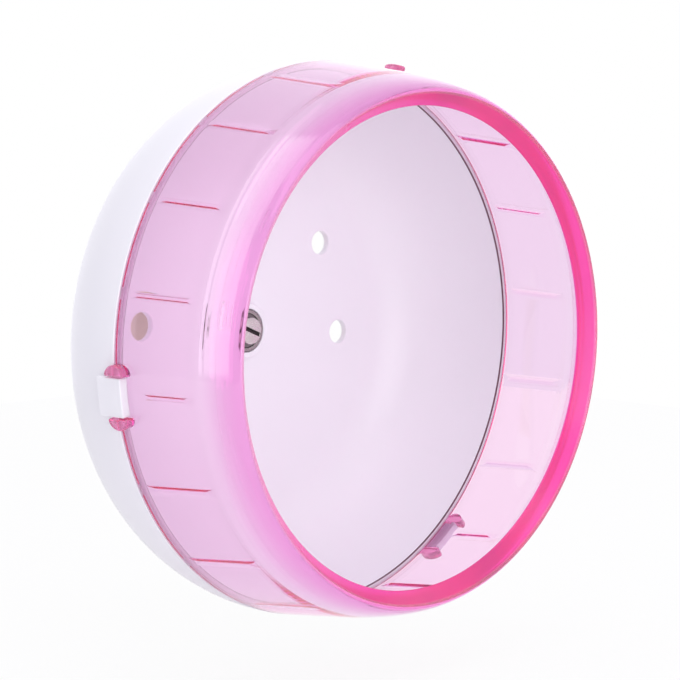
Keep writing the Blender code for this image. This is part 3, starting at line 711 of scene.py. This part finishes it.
HEAD_STEEL = worked_metal("slotted_steel", light=(0.74, 0.70, 0.68), dark=(0.62, 0.58, 0.57),
                          roughness=0.28, ring_scale=1100.0)
# Painted shade: the inside of the screw head's slot is darkened towards SLOT_SHADE.
shade(HEAD_STEEL, painted_slot_shade(HEAD_STEEL.node_tree), SLOT_SHADE)
BRASS = worked_metal("cage_brass", light=(0.72, 0.50, 0.22), dark=(0.60, 0.39, 0.15),
                     roughness=0.30, ring_scale=1100.0)


# Clear ring

def ring_outline():
    """Thin tapered wall that swells into a solid rim, with sloped faces before and behind the mouth."""
    slope = math.tan(RING_TAPER)
    back = (WHEEL_RADIUS - SEAT_GAP * slope, SEAM + SEAT_GAP, RING_EDGE_ROUND)
    cone_end = (WHEEL_RADIUS - RING_CONE_DEPTH * slope, SEAM + RING_CONE_DEPTH)
    shoulder = (cone_end[0] - SHOULDER_REACH * slope, cone_end[1] + SHOULDER_REACH)
    nose = (NOSE_RADIUS, RIM_FRONT)
    bullnose = curve((cone_end, shoulder, (nose[0] + NOSE_WIDTH, nose[1]), nose), CURVE_POINTS)
    mouth = (MOUTH_RADIUS, MOUTH_FRONT)
    fall = math.tan(RIM_BACK_SLOPE)
    rise = ring_inner_radius(mouth[1] - SEAM) - mouth[0]
    depth = rise * fall / (1 - slope * fall)
    meeting = (mouth[0] + depth / fall, mouth[1] - depth)
    inside_back = (ring_inner_radius(SEAT_GAP), SEAM + SEAT_GAP, RING_EDGE_ROUND)
    rim = [(*nose, NOSE_ROUND), (*mouth, MOUTH_ROUND), (*meeting, RIM_COVE)]
    return rounded([back] + bullnose[:-1] + rim + [inside_back])


def tread_ribs():
    """Low ridges along the inside of the ring, sloped on all sides and sunk to the middle of its wall."""
    ribs = bmesh.new()
    embed = RING_WALL / 2
    widening = embed * (RIB_WIDTH - RIB_TOP_WIDTH) / RIB_HEIGHT
    for index in range(RIB_COUNT):
        angle = RIB_START_ANGLE + 2 * math.pi * index / RIB_COUNT
        beside_latch = min(abs(math.remainder(angle - latch, 2 * math.pi)) for latch in LATCH_ANGLES)
        start = RIB_LATCH_BACK if beside_latch < math.pi / RIB_COUNT else RIB_BACK
        middle = (start + RIB_FRONT) / 2
        outward = outward_at(angle)
        along = FORWARD * math.cos(RING_TAPER) - outward * math.sin(RING_TAPER)
        normal = outward * math.cos(RING_TAPER) + FORWARD * math.sin(RING_TAPER)
        centre = axle_point(ring_inner_radius(middle), SEAM + middle, angle)
        centre += normal * (embed - RIB_HEIGHT) / 2
        length = (RIB_FRONT - start) / math.cos(RING_TAPER) + 2 * RIB_END_RUN * embed / RIB_HEIGHT
        matrix = placement(along, normal, sideways_at(angle), centre)
        ridge(ribs, matrix, length, RIB_WIDTH + widening, RIB_TOP_WIDTH, RIB_HEIGHT + embed,
              RIB_END_RUN * (RIB_HEIGHT + embed) / RIB_HEIGHT, RIB_ROUND)
    return ribs


def latch_bosses():
    """Half-round bosses on both sides of each latch, held clear of the bowl behind the seam."""
    bosses = bmesh.new()
    foot = WHEEL_RADIUS - BOSS_ROOT - BOSS_REACH * math.tan(RING_TAPER)
    height = WHEEL_RADIUS + BOSS_RISE - foot
    middle = SEAM + BOSS_REACH - BOSS_LENGTH / 2
    for latch in LATCH_ANGLES:
        for side in (-1, 1):
            angle = latch + side * BOSS_HALF_ANGLE
            boss = bmesh.new()
            outline = arc((0.0, 0.0), (BOSS_LENGTH / 2, BOSS_WIDTH), 0.0, math.pi, 2 * CORNER_POINTS)
            face = boss.faces.new([boss.verts.new((x, y, 0.0)) for x, y in outline])
            lifted = bmesh.ops.extrude_face_region(boss, geom=[face])["geom"]
            top = [item for item in lifted if isinstance(item, bmesh.types.BMVert)]
            bmesh.ops.translate(boss, verts=top, vec=(0.0, 0.0, height))
            bmesh.ops.recalc_face_normals(boss, faces=boss.faces)
            bevel_sharp(boss, BOSS_ROUND, BROAD_EDGE_STEPS)
            origin = axle_point(foot, middle, angle)
            matrix = placement(FORWARD, side * sideways_at(angle), outward_at(angle), origin)
            add_shape(bosses, boss, matrix)
    clear_back = SEAM - BOSS_LENGTH
    clear_front = SEAM + SEAT_GAP + BOSS_UNDERCUT
    clear_inside = WHEEL_RADIUS - RING_WALL - BOSS_LENGTH
    clearance = [(TAB_UNDERSIDE, clear_front), (TAB_UNDERSIDE, clear_back), (clear_inside, clear_back),
                 (clear_inside, clear_front)]
    return combined(bosses, turned(clearance, WHEEL_STEPS), "DIFFERENCE")


def hook_slots():
    """Pockets in the outside of the ring that the latch hooks drop into."""
    slots = bmesh.new()
    bottom = WHEEL_RADIUS - HOOK_DEPTH - SEAT_GAP - TAB_REACH * math.tan(RING_TAPER)
    top = WHEEL_RADIUS + OVERCUT
    width = 2 * (WHEEL_RADIUS * math.sin(TAB_HALF_ANGLE) + SEAT_GAP / 2)
    for latch in LATCH_ANGLES:
        centre = axle_point((bottom + top) / 2, SEAM + TAB_REACH - HOOK_LENGTH / 2, latch)
        matrix = placement(FORWARD, outward_at(latch), sideways_at(latch), centre)
        rounded_box(slots, matrix, (HOOK_LENGTH + 2 * SEAT_GAP, top - bottom, width), SMALL_ROUND)
    return slots


def clear_ring():
    ring = turned(ring_outline(), WHEEL_STEPS)
    ring = combined(ring, tread_ribs(), "UNION")
    ring = combined(ring, latch_bosses(), "UNION")
    ring = combined(ring, hook_slots(), "DIFFERENCE")
    finish_piece("clear_ring", ring, CLEAR_PINK, "wheel", "front_ring")


# White bowl and its latches

def bowl_outline():
    lip = SEAM + SPIGOT_LENGTH
    spigot_back = ring_inner_radius(0.0) - SEAT_GAP
    spigot_front = ring_inner_radius(SPIGOT_LENGTH) - SEAT_GAP
    inner_wall = spigot_front - SPIGOT_WALL
    flat = WHEEL_RADIUS - BOWL_ROUND
    corner = (flat, SEAM - BOWL_STRAIGHT)
    outer_reach = corner[1] - BACK_OUTSIDE
    inner_reach = corner[1] - BACK_INSIDE
    outside = arc(corner, (BOWL_ROUND, -outer_reach), 0.0, math.pi / 2, CURVE_POINTS)
    inside = arc(corner, (inner_wall - flat, -inner_reach), math.pi / 2, 0.0, CURVE_POINTS)
    cove = (HUB_COVE, HUB_COVE)
    cove_radius = HUB_RADIUS + HUB_COVE
    cove_back = arc((cove_radius, BACK_OUTSIDE - HUB_COVE), cove, math.pi / 2, math.pi, CORNER_POINTS)
    cove_front = arc((cove_radius, BACK_INSIDE + HUB_COVE), cove, math.pi, 3 * math.pi / 2, CORNER_POINTS)
    rear_seat, front_seat = axial_reach("bearing_spacer")
    rim = [(inner_wall, lip, BOWL_EDGE_ROUND), (spigot_front, lip, BOWL_EDGE_ROUND),
           (spigot_back, SEAM), (WHEEL_RADIUS, SEAM, BOWL_EDGE_ROUND)]
    hub = [(HUB_RADIUS, HUB_BACK, HUB_EDGE_ROUND), (HUB_BORE, HUB_BACK, SMALL_ROUND), (HUB_BORE, rear_seat),
           (OUTER_LAND, rear_seat), (OUTER_LAND, front_seat), (HUB_BORE, front_seat),
           (HUB_BORE, HUB_FRONT, SMALL_ROUND), (HUB_RADIUS, HUB_FRONT, HUB_EDGE_ROUND)]
    return rounded(rim + outside + cove_back + hub + cove_front + inside)


def vent_cutters():
    """Round cutters that flare at both faces of the back wall."""
    vents = [(RIGHT_VENT_RADIUS, RIGHT_VENT_CIRCLE, angle) for angle in RIGHT_VENT_ANGLES]
    vents.append((LEFT_VENT_RADIUS, LEFT_VENT_CIRCLE, LEFT_VENT_ANGLE))
    flare = (VENT_EDGE_ROUND, VENT_EDGE_ROUND)
    cutters = bmesh.new()
    for radius, circle, angle in vents:
        edge = radius + VENT_EDGE_ROUND
        front = arc((edge, BACK_INSIDE - VENT_EDGE_ROUND), flare, math.pi, math.pi / 2, CORNER_POINTS)
        back = arc((edge, BACK_OUTSIDE + VENT_EDGE_ROUND), flare, 3 * math.pi / 2, math.pi, CORNER_POINTS)
        outline = [(0.0, BACK_OUTSIDE - OVERCUT), (edge, BACK_OUTSIDE - OVERCUT)] + back + front
        outline += [(edge, BACK_INSIDE + OVERCUT), (0.0, BACK_INSIDE + OVERCUT)]
        turned(outline, BEARING_STEPS, axle_point(circle, 0.0, angle), cutters)
    return cutters


def white_bowl():
    bowl = combined(turned(bowl_outline(), WHEEL_STEPS), vent_cutters(), "DIFFERENCE")
    finish_piece("white_bowl", bowl, WHITE, "wheel", "back_bowl")


def snap_tab(number, angle):
    """A tab that lies over the seam and hooks into the ring."""
    top = TAB_UNDERSIDE + TAB_THICKNESS
    back = SEAM - TAB_ROOT
    front = SEAM + TAB_REACH
    hook_back = front - HOOK_LENGTH
    hook_bottom = WHEEL_RADIUS - HOOK_DEPTH - TAB_REACH * math.tan(RING_TAPER)
    outline = [(TAB_UNDERSIDE, back), (top, back), (top, front), (hook_bottom, front),
               (hook_bottom, hook_back), (TAB_UNDERSIDE, hook_back)]
    tab = bmesh.new()
    start = angle - TAB_HALF_ANGLE
    face = tab.faces.new([tab.verts.new(axle_point(radius, forward, start)) for radius, forward in outline])
    bmesh.ops.spin(tab, geom=[face], cent=ORIGIN, axis=FORWARD, angle=2 * TAB_HALF_ANGLE,
                   steps=CORNER_POINTS)
    bmesh.ops.recalc_face_normals(tab, faces=tab.faces)
    bevel_sharp(tab, TAB_ROUND, EDGE_STEPS)
    bmesh.ops.recalc_face_normals(tab, faces=tab.faces)
    finish_piece(f"snap_tab_{number}", tab, WHITE, f"latch_{number}", f"latch_tab_{number}")


# Bearings

def race_groove(back, front, side):
    """Ball groove of one race, from its front edge to its back edge (side -1 inner race, 1 outer race)."""
    centre = (PITCH_RADIUS, (back + front) / 2)
    radii = (GROOVE_RADIUS, GROOVE_RADIUS)
    half = math.acos((OUTER_LAND - INNER_LAND) / 2 / GROOVE_RADIUS)
    if side < 0:
        return arc(centre, radii, math.pi - half, math.pi + half, CORNER_POINTS)
    return arc(centre, radii, half, -half, CORNER_POINTS)


def bearing(end):
    back, front = axial_reach(f"{end}_outer_race")
    inner = [(BORE_RADIUS, front, SMALL_ROUND), (INNER_LAND, front, RACE_ROUND)]
    inner += race_groove(back, front, -1)
    inner += [(INNER_LAND, back, RACE_ROUND), (BORE_RADIUS, back, SMALL_ROUND)]
    outer = [(BEARING_RADIUS, front, RACE_ROUND), (OUTER_LAND, front, RACE_ROUND)]
    outer += race_groove(back, front, 1)
    outer += [(OUTER_LAND, back, RACE_ROUND), (BEARING_RADIUS, back, RACE_ROUND)]
    turned_piece(f"{end}_inner_ring", inner, BEARING_STEEL, "axle", f"{end}_inner_race")
    turned_piece(f"{end}_outer_ring", outer, BEARING_STEEL, "wheel", f"{end}_outer_race")
    for side, outside in (("front", 1), ("back", -1)):
        bearing_shield(f"{end}_bearing_{side}_shield", outside)
    bearing_balls(end, (back + front) / 2)
    crown_cage(end)


def bearing_shield(node, outside):
    """A pressed washer, stepped at its rim where it is crimped into the outer race."""
    back, front = axial_reach(node)
    rim = node_radius(node)
    bore = INNER_LAND + SHIELD_BORE_GAP
    step = rim - SHIELD_RIM_WIDTH
    outer_face = front if outside > 0 else back
    inner_face = back if outside > 0 else front
    sunk = outer_face - outside * SHIELD_STEP
    outline = [(bore, inner_face), (bore, outer_face), (step, outer_face), (step, sunk), (rim, sunk),
               (rim, inner_face)]
    shield = turned(outline, BEARING_STEPS)
    finish_piece(node.replace("_shield", "_cover"), shield, SHIELD_STEEL, "wheel", node)


def bearing_balls(end, middle):
    for index in range(BALL_COUNT):
        ball = bmesh.new()
        centre = axle_point(PITCH_RADIUS, middle, 2 * math.pi * index / BALL_COUNT)
        bmesh.ops.create_icosphere(ball, subdivisions=BALL_DIVISIONS, radius=BALL_RADIUS,
                                   matrix=Matrix.Translation(centre))
        finish_piece(f"{end}_steel_ball_{index + 1}", ball, BEARING_STEEL, f"{end}_balls",
                     f"{end}_ball_{index + 1}")


def crown_cage(end):
    """A band with a finger between each ball and the next."""
    back, front = axial_reach(f"{end}_ball_cage")
    inside = PITCH_RADIUS - CAGE_WIDTH / 2
    outside = PITCH_RADIUS + CAGE_WIDTH / 2
    band = front - CAGE_BAND
    cage = turned([(inside, band), (inside, front), (outside, front), (outside, band)], BEARING_STEPS)
    fingers = bmesh.new()
    pocket = 2 * math.pi / BALL_COUNT
    width = 2 * PITCH_RADIUS * math.sin(pocket / 2) - 2 * BALL_RADIUS - 2 * CAGE_FINGER_GAP
    finger_front = front - CAGE_BAND / 2
    length = finger_front - back
    for index in range(BALL_COUNT):
        angle = (index + 0.5) * pocket
        centre = axle_point(PITCH_RADIUS, back + length / 2, angle)
        matrix = placement(FORWARD, outward_at(angle), sideways_at(angle), centre)
        rounded_box(fingers, matrix, (length, CAGE_FINGER_THICKNESS, width), CAGE_FINGER_ROUND)
    finish_piece(f"{end}_crown_cage", combined(cage, fingers, "UNION"), BRASS, f"{end}_balls",
                 f"{end}_ball_cage")


# Screw and sleeves

def thread(bm, back, front, radius):
    """Add a screw thread as a ridge swept round a core."""
    turns = (front - back) / THREAD_PITCH - 1
    root = radius - THREAD_DEPTH
    crest = back + THREAD_HALF_WIDTH
    end = back + 2 * THREAD_HALF_WIDTH
    outline = [(root - THREAD_DEPTH, back), (root, back), (radius, crest), (root, end),
               (root - THREAD_DEPTH, end)]
    spiral = bmesh.new()
    face = spiral.faces.new([spiral.verts.new(axle_point(*point)) for point in outline])
    steps = round(turns * THREAD_STEPS)
    advance = FORWARD * (THREAD_PITCH / THREAD_STEPS)
    bmesh.ops.spin(spiral, geom=[face], cent=ORIGIN, axis=FORWARD, dvec=advance,
                   angle=2 * math.pi * steps / THREAD_STEPS, steps=steps)
    add_shape(bm, spiral)


def slotted_screw():
    tip, head_front = axial_reach("axle_screw")
    head_radius = node_radius("axle_screw")
    head_back = head_front - HEAD_HEIGHT
    core = SHANK_RADIUS - THREAD_DEPTH
    corners = [(0.0, head_front), (head_radius, head_front, HEAD_ROUND),
               (head_radius, head_back, SMALL_ROUND), (SHANK_RADIUS, head_back),
               (SHANK_RADIUS, THREAD_END), (core, THREAD_END - THREAD_DEPTH),
               (core, tip + TIP_CHAMFER), (core - TIP_CHAMFER, tip), (0.0, tip)]
    slot = bmesh.new()
    height = SLOT_DEPTH + OVERCUT
    centre = FORWARD * (head_front - SLOT_DEPTH + height / 2)
    matrix = placement(outward_at(SLOT_ANGLE), FORWARD, sideways_at(SLOT_ANGLE), centre)
    rounded_box(slot, matrix, (2 * (head_radius + OVERCUT), height, SLOT_WIDTH), SMALL_ROUND / 2)
    screw = combined(turned(rounded(corners), BEARING_STEPS), slot, "DIFFERENCE")
    thread(screw, tip + TIP_CHAMFER / 2, THREAD_END + THREAD_PITCH / 2, SHANK_RADIUS)
    finish_piece("slotted_screw", screw, HEAD_STEEL, "axle", "axle_screw")


def spacer_tube():
    back, front = axial_reach("bearing_spacer")
    outside = node_radius("bearing_spacer")
    corners = [(BORE_RADIUS, back), (outside, back, SMALL_ROUND), (outside, front, SMALL_ROUND),
               (BORE_RADIUS, front)]
    turned_piece("spacer_tube", corners, SCREW_STEEL, "axle", "bearing_spacer")


def standoff_bush():
    back, front = axial_reach("standoff_sleeve")
    flange = node_radius("standoff_sleeve")
    wall = BORE_RADIUS + STANDOFF_WALL
    step = back + FLANGE_THICKNESS
    corners = [(BORE_RADIUS, back), (flange, back, HEAD_ROUND), (flange, step, HEAD_ROUND),
               (wall, step, HEAD_ROUND), (wall, front, SMALL_ROUND), (BORE_RADIUS, front)]
    turned_piece("standoff_bush", corners, IVORY, "axle", "standoff_sleeve")


# Wall clamp

def hexagon(flats, back, front):
    bar = bmesh.new()
    radius = flats / 2 / math.cos(math.pi / NUT_SIDES)
    matrix = placement(outward_at(0.0), outward_at(math.pi / 2), FORWARD, FORWARD * ((back + front) / 2))
    bmesh.ops.create_cone(bar, cap_ends=True, segments=NUT_SIDES, radius1=radius, radius2=radius,
                          depth=front - back, matrix=matrix)
    bmesh.ops.recalc_face_normals(bar, faces=bar.faces)
    return bar


def inner_plate():
    """Dished plate with its flat side to the cage wall, radial ribs and a pocket for the lock nut."""
    back, front = axial_reach("inner_clamp_plate")
    nut_front = axial_reach("lock_nut")[1]
    rim_inside = PLATE_RADIUS - PLATE_RIM_WIDTH
    web = back + PLATE_WEB
    corners = [(BORE_RADIUS, back), (PLATE_RADIUS, back, PLATE_ROUND), (PLATE_RADIUS, front, PLATE_ROUND),
               (rim_inside, front, HEAD_ROUND), (rim_inside, web, PLATE_ROUND),
               (PLATE_HUB_RADIUS, web, PLATE_ROUND), (PLATE_HUB_RADIUS, front, HEAD_ROUND),
               (BORE_RADIUS, front)]
    plate = turned(rounded(corners), PLATE_STEPS)
    ribs = bmesh.new()
    start = PLATE_HUB_RADIUS - PLATE_RIB_WIDTH / 2
    length = rim_inside + PLATE_RIB_WIDTH / 2 - start
    for index in range(PLATE_RIB_COUNT):
        angle = 2 * math.pi * (index + 0.5) / PLATE_RIB_COUNT
        centre = axle_point(start + length / 2, web + PLATE_RIB_HEIGHT / 2 - PLATE_WEB / 4, angle)
        matrix = placement(outward_at(angle), FORWARD, sideways_at(angle), centre)
        rounded_box(ribs, matrix, (length, PLATE_RIB_HEIGHT + PLATE_WEB / 2, PLATE_RIB_WIDTH), SMALL_ROUND)
    plate = combined(plate, ribs, "UNION")
    pocket = hexagon(NUT_FLATS + 2 * SEAT_GAP, back - OVERCUT, nut_front + SEAT_GAP)
    plate = combined(plate, pocket, "DIFFERENCE")
    finish_piece("inner_plate", plate, IVORY, "axle", "inner_clamp_plate")


def hex_nut():
    back, front = axial_reach("lock_nut")
    corner = NUT_CORNERS / 2
    flat = NUT_FLATS / 2
    blank = [(0.0, back), (flat, back), (corner, back + NUT_CHAMFER), (corner, front - NUT_CHAMFER),
             (flat, front), (0.0, front)]
    nut = combined(hexagon(NUT_FLATS, back, front), turned(blank, BEARING_STEPS), "INTERSECT")
    nut = combined(nut, round_bar(BORE_RADIUS, back - OVERCUT, front + OVERCUT), "DIFFERENCE")
    finish_piece("hex_nut", nut, SCREW_STEEL, "axle", "lock_nut")


def outer_plate():
    back, front = axial_reach("outer_clamp_plate")
    corners = [(SLIDING_BORE_RADIUS, back), (PLATE_RADIUS, back, PLATE_ROUND),
               (PLATE_RADIUS, front, PLATE_ROUND), (SLIDING_BORE_RADIUS, front)]
    turned_piece("outer_plate", corners, IVORY, "clamp", "outer_clamp_plate", PLATE_STEPS)


def flat_washer():
    back, front = axial_reach("clamp_washer")
    outside = node_radius("clamp_washer")
    corners = [(SLIDING_BORE_RADIUS, back, SMALL_ROUND), (outside, back, SMALL_ROUND),
               (outside, front, SMALL_ROUND), (SLIDING_BORE_RADIUS, front, SMALL_ROUND)]
    turned_piece("flat_washer", corners, SCREW_STEEL, "clamp", "clamp_washer")


def winged_nut():
    front = axial_reach("wing_nut")[1]
    back = front - WING_BOSS_LENGTH
    wings = bmesh.new()
    middle = front - WING_CLEARANCE - WING_RADIUS
    for angle in (0.0, math.pi):
        wing = bmesh.new()
        bmesh.ops.create_cone(wing, cap_ends=True, segments=BEARING_STEPS, radius1=WING_RADIUS,
                              radius2=WING_RADIUS, depth=WING_THICKNESS)
        bevel_sharp(wing, WING_ROUND, BROAD_EDGE_STEPS)
        centre = axle_point(WING_OFFSET, middle, angle)
        add_shape(wings, wing, placement(FORWARD, outward_at(angle), sideways_at(angle), centre))
    corners = [(0.0, back), (WING_BOSS_RADIUS, back, PLATE_ROUND), (WING_BOSS_RADIUS, front, SMALL_ROUND),
               (0.0, front)]
    bore = round_bar(SLIDING_BORE_RADIUS, back - WING_RADIUS - OVERCUT, front + OVERCUT)
    nut = combined(turned(rounded(corners), BEARING_STEPS), wings, "UNION")
    nut = combined(nut, bore, "DIFFERENCE")
    finish_piece("winged_nut", nut, IVORY, "wing", "wing_nut")


# Studio

def camera():
    azimuth = CAMERA_AZIMUTH
    elevation = CAMERA_ELEVATION
    right = Vector((math.cos(azimuth), math.sin(azimuth), 0.0))
    back = Vector((math.sin(azimuth) * math.cos(elevation), -math.cos(azimuth) * math.cos(elevation),
                   math.sin(elevation)))
    up = back.cross(right)
    data = bpy.data.cameras.new("camera")
    data.lens = CAMERA_LENS
    data.sensor_width = CAMERA_SENSOR
    data.clip_start = CAMERA_NEAREST
    obj = new_object("camera", data)
    place = CAMERA_TARGET + right * CAMERA_RIGHT + up * CAMERA_UP + back * CAMERA_DISTANCE
    obj.matrix_world = placement(right, up, back, place)
    bpy.context.scene.camera = obj


def shader_blend(tree, share, first, second):
    mix = tree.nodes.new("ShaderNodeMixShader")
    tree.links.new(share, mix.inputs["Fac"])
    tree.links.new(first, mix.inputs[1])
    tree.links.new(second, mix.inputs[2])
    return mix.outputs["Shader"]


def seen_directly(tree):
    """1 for rays from the camera, from a mirror-like surface or through a clear one, and 0 for the rest."""
    rays = tree.nodes.new("ShaderNodeLightPath").outputs
    either = joined(tree, "MAXIMUM", rays["Is Camera Ray"], rays["Is Glossy Ray"])
    return joined(tree, "MAXIMUM", either, rays["Is Transmission Ray"])


def floor():
    """A pale floor that keeps the wheel's shadow, and is nearly white where it is seen directly."""
    grid = bmesh.new()
    place = Matrix.Translation((0.0, -FLOOR_FORWARD, -FLOOR_DROP))
    bmesh.ops.create_grid(grid, x_segments=1, y_segments=1, size=FLOOR_SIZE / 2, matrix=place)
    mesh = new_mesh("floor", grid)
    material, tree, shader = new_material("floor_white")
    shader.inputs["Base Color"].default_value = (*FLOOR_COLOUR, 1.0)
    shader.inputs["Roughness"].default_value = FLOOR_ROUGHNESS
    glow = tree.nodes.new("ShaderNodeEmission")
    glow.inputs["Strength"].default_value = 1.0
    share = spread(tree, seen_directly(tree), 0.0, FLOOR_GLOW, 0.0, 1.0)
    surface = shader_blend(tree, share, shader.outputs["BSDF"], glow.outputs["Emission"])
    tree.links.new(surface, tree.nodes["Material Output"].inputs["Surface"])
    mesh.materials.append(material)
    obj = new_object("floor", mesh)


def room(tree, colour, strength=None):
    node = tree.nodes.new("ShaderNodeBackground")
    node.inputs["Color"].default_value = (*colour, 1.0)
    if strength:
        tree.links.new(strength, node.inputs["Strength"])
    return node.outputs["Background"]


def window(tree):
    """A soft bright strip of the room, at the left of the wheel, that glossy surfaces show."""
    towards_front = reach_along(tree, "Generated", FORWARD)
    towards_top = reach_along(tree, "Generated", UPWARD)
    towards_left = reach_along(tree, "Generated", LEFTWARD)
    behind = rising(tree, towards_front, WINDOW_BACK - WINDOW_BLUR, WINDOW_BACK)
    before = falling(tree, towards_front, WINDOW_FRONT, WINDOW_FRONT + WINDOW_BLUR)
    above = rising(tree, towards_top, WINDOW_BOTTOM - WINDOW_BLUR, WINDOW_BOTTOM)
    left = spread(tree, towards_left, 0.0, WINDOW_STRENGTH, 0.0, WINDOW_BLUR)
    across = joined(tree, "MULTIPLY", behind, before)
    return joined(tree, "MULTIPLY", across, joined(tree, "MULTIPLY", above, left))


def world():
    """A pale room that differs for light, for gloss, through clear plastic and behind the wheel."""
    data = bpy.data.worlds.new("studio")
    data.use_nodes = True
    tree = data.node_tree
    tree.nodes.remove(tree.nodes["Background"])
    towards_light = spread(tree, reach_along(tree, "Generated", LIGHT_SIDE), *LIGHT_STRENGTHS, -1.0, 1.0)
    towards_sheen = spread(tree, reach_along(tree, "Generated", SHEEN_SIDE), *SHEEN_STRENGTHS, -1.0, 1.0)
    shader = room(tree, LIGHT_COLOUR, towards_light)
    sheen = room(tree, SHEEN_COLOUR, joined(tree, "ADD", towards_sheen, window(tree)))
    walls = room(tree, WALL_COLOUR)
    backdrop = room(tree, BACKDROP_COLOUR)
    rays = tree.nodes.new("ShaderNodeLightPath").outputs
    shader = shader_blend(tree, rays["Is Glossy Ray"], shader, sheen)
    shader = shader_blend(tree, rays["Is Transmission Ray"], shader, walls)
    shader = shader_blend(tree, rays["Is Camera Ray"], shader, backdrop)
    tree.links.new(shader, tree.nodes["World Output"].inputs["Surface"])
    bpy.context.scene.world = data


def softbox(name, place, size, power):
    """A square lamp that faces the wheel."""
    data = bpy.data.lights.new(name, "AREA")
    data.size = size
    data.energy = power
    obj = new_object(name, data)
    aim = CAMERA_TARGET - Vector(place)
    obj.location = place
    obj.rotation_euler = aim.to_track_quat("-Z", "Y").to_euler()


def studio():
    camera()
    floor()
    world()
    softbox("front_softbox", place=(-0.45, -1.25, 0.12), size=0.8, power=4.6)
    softbox("top_softbox", place=(-0.15, -0.35, 0.65), size=0.5, power=1.0)
    scene = bpy.context.scene
    scene.view_settings.view_transform = "Standard"
    scene.cycles.max_bounces = BOUNCES
    scene.cycles.transmission_bounces = BOUNCES
    scene.cycles.glossy_bounces = BOUNCES


clear_ring()
white_bowl()
for latch_number, latch_angle in enumerate(LATCH_ANGLES, start=1):
    snap_tab(latch_number, latch_angle)
for bearing_end in ("front", "rear"):
    bearing(bearing_end)
slotted_screw()
spacer_tube()
standoff_bush()
inner_plate()
hex_nut()
outer_plate()
flat_washer()
winged_nut()
studio()
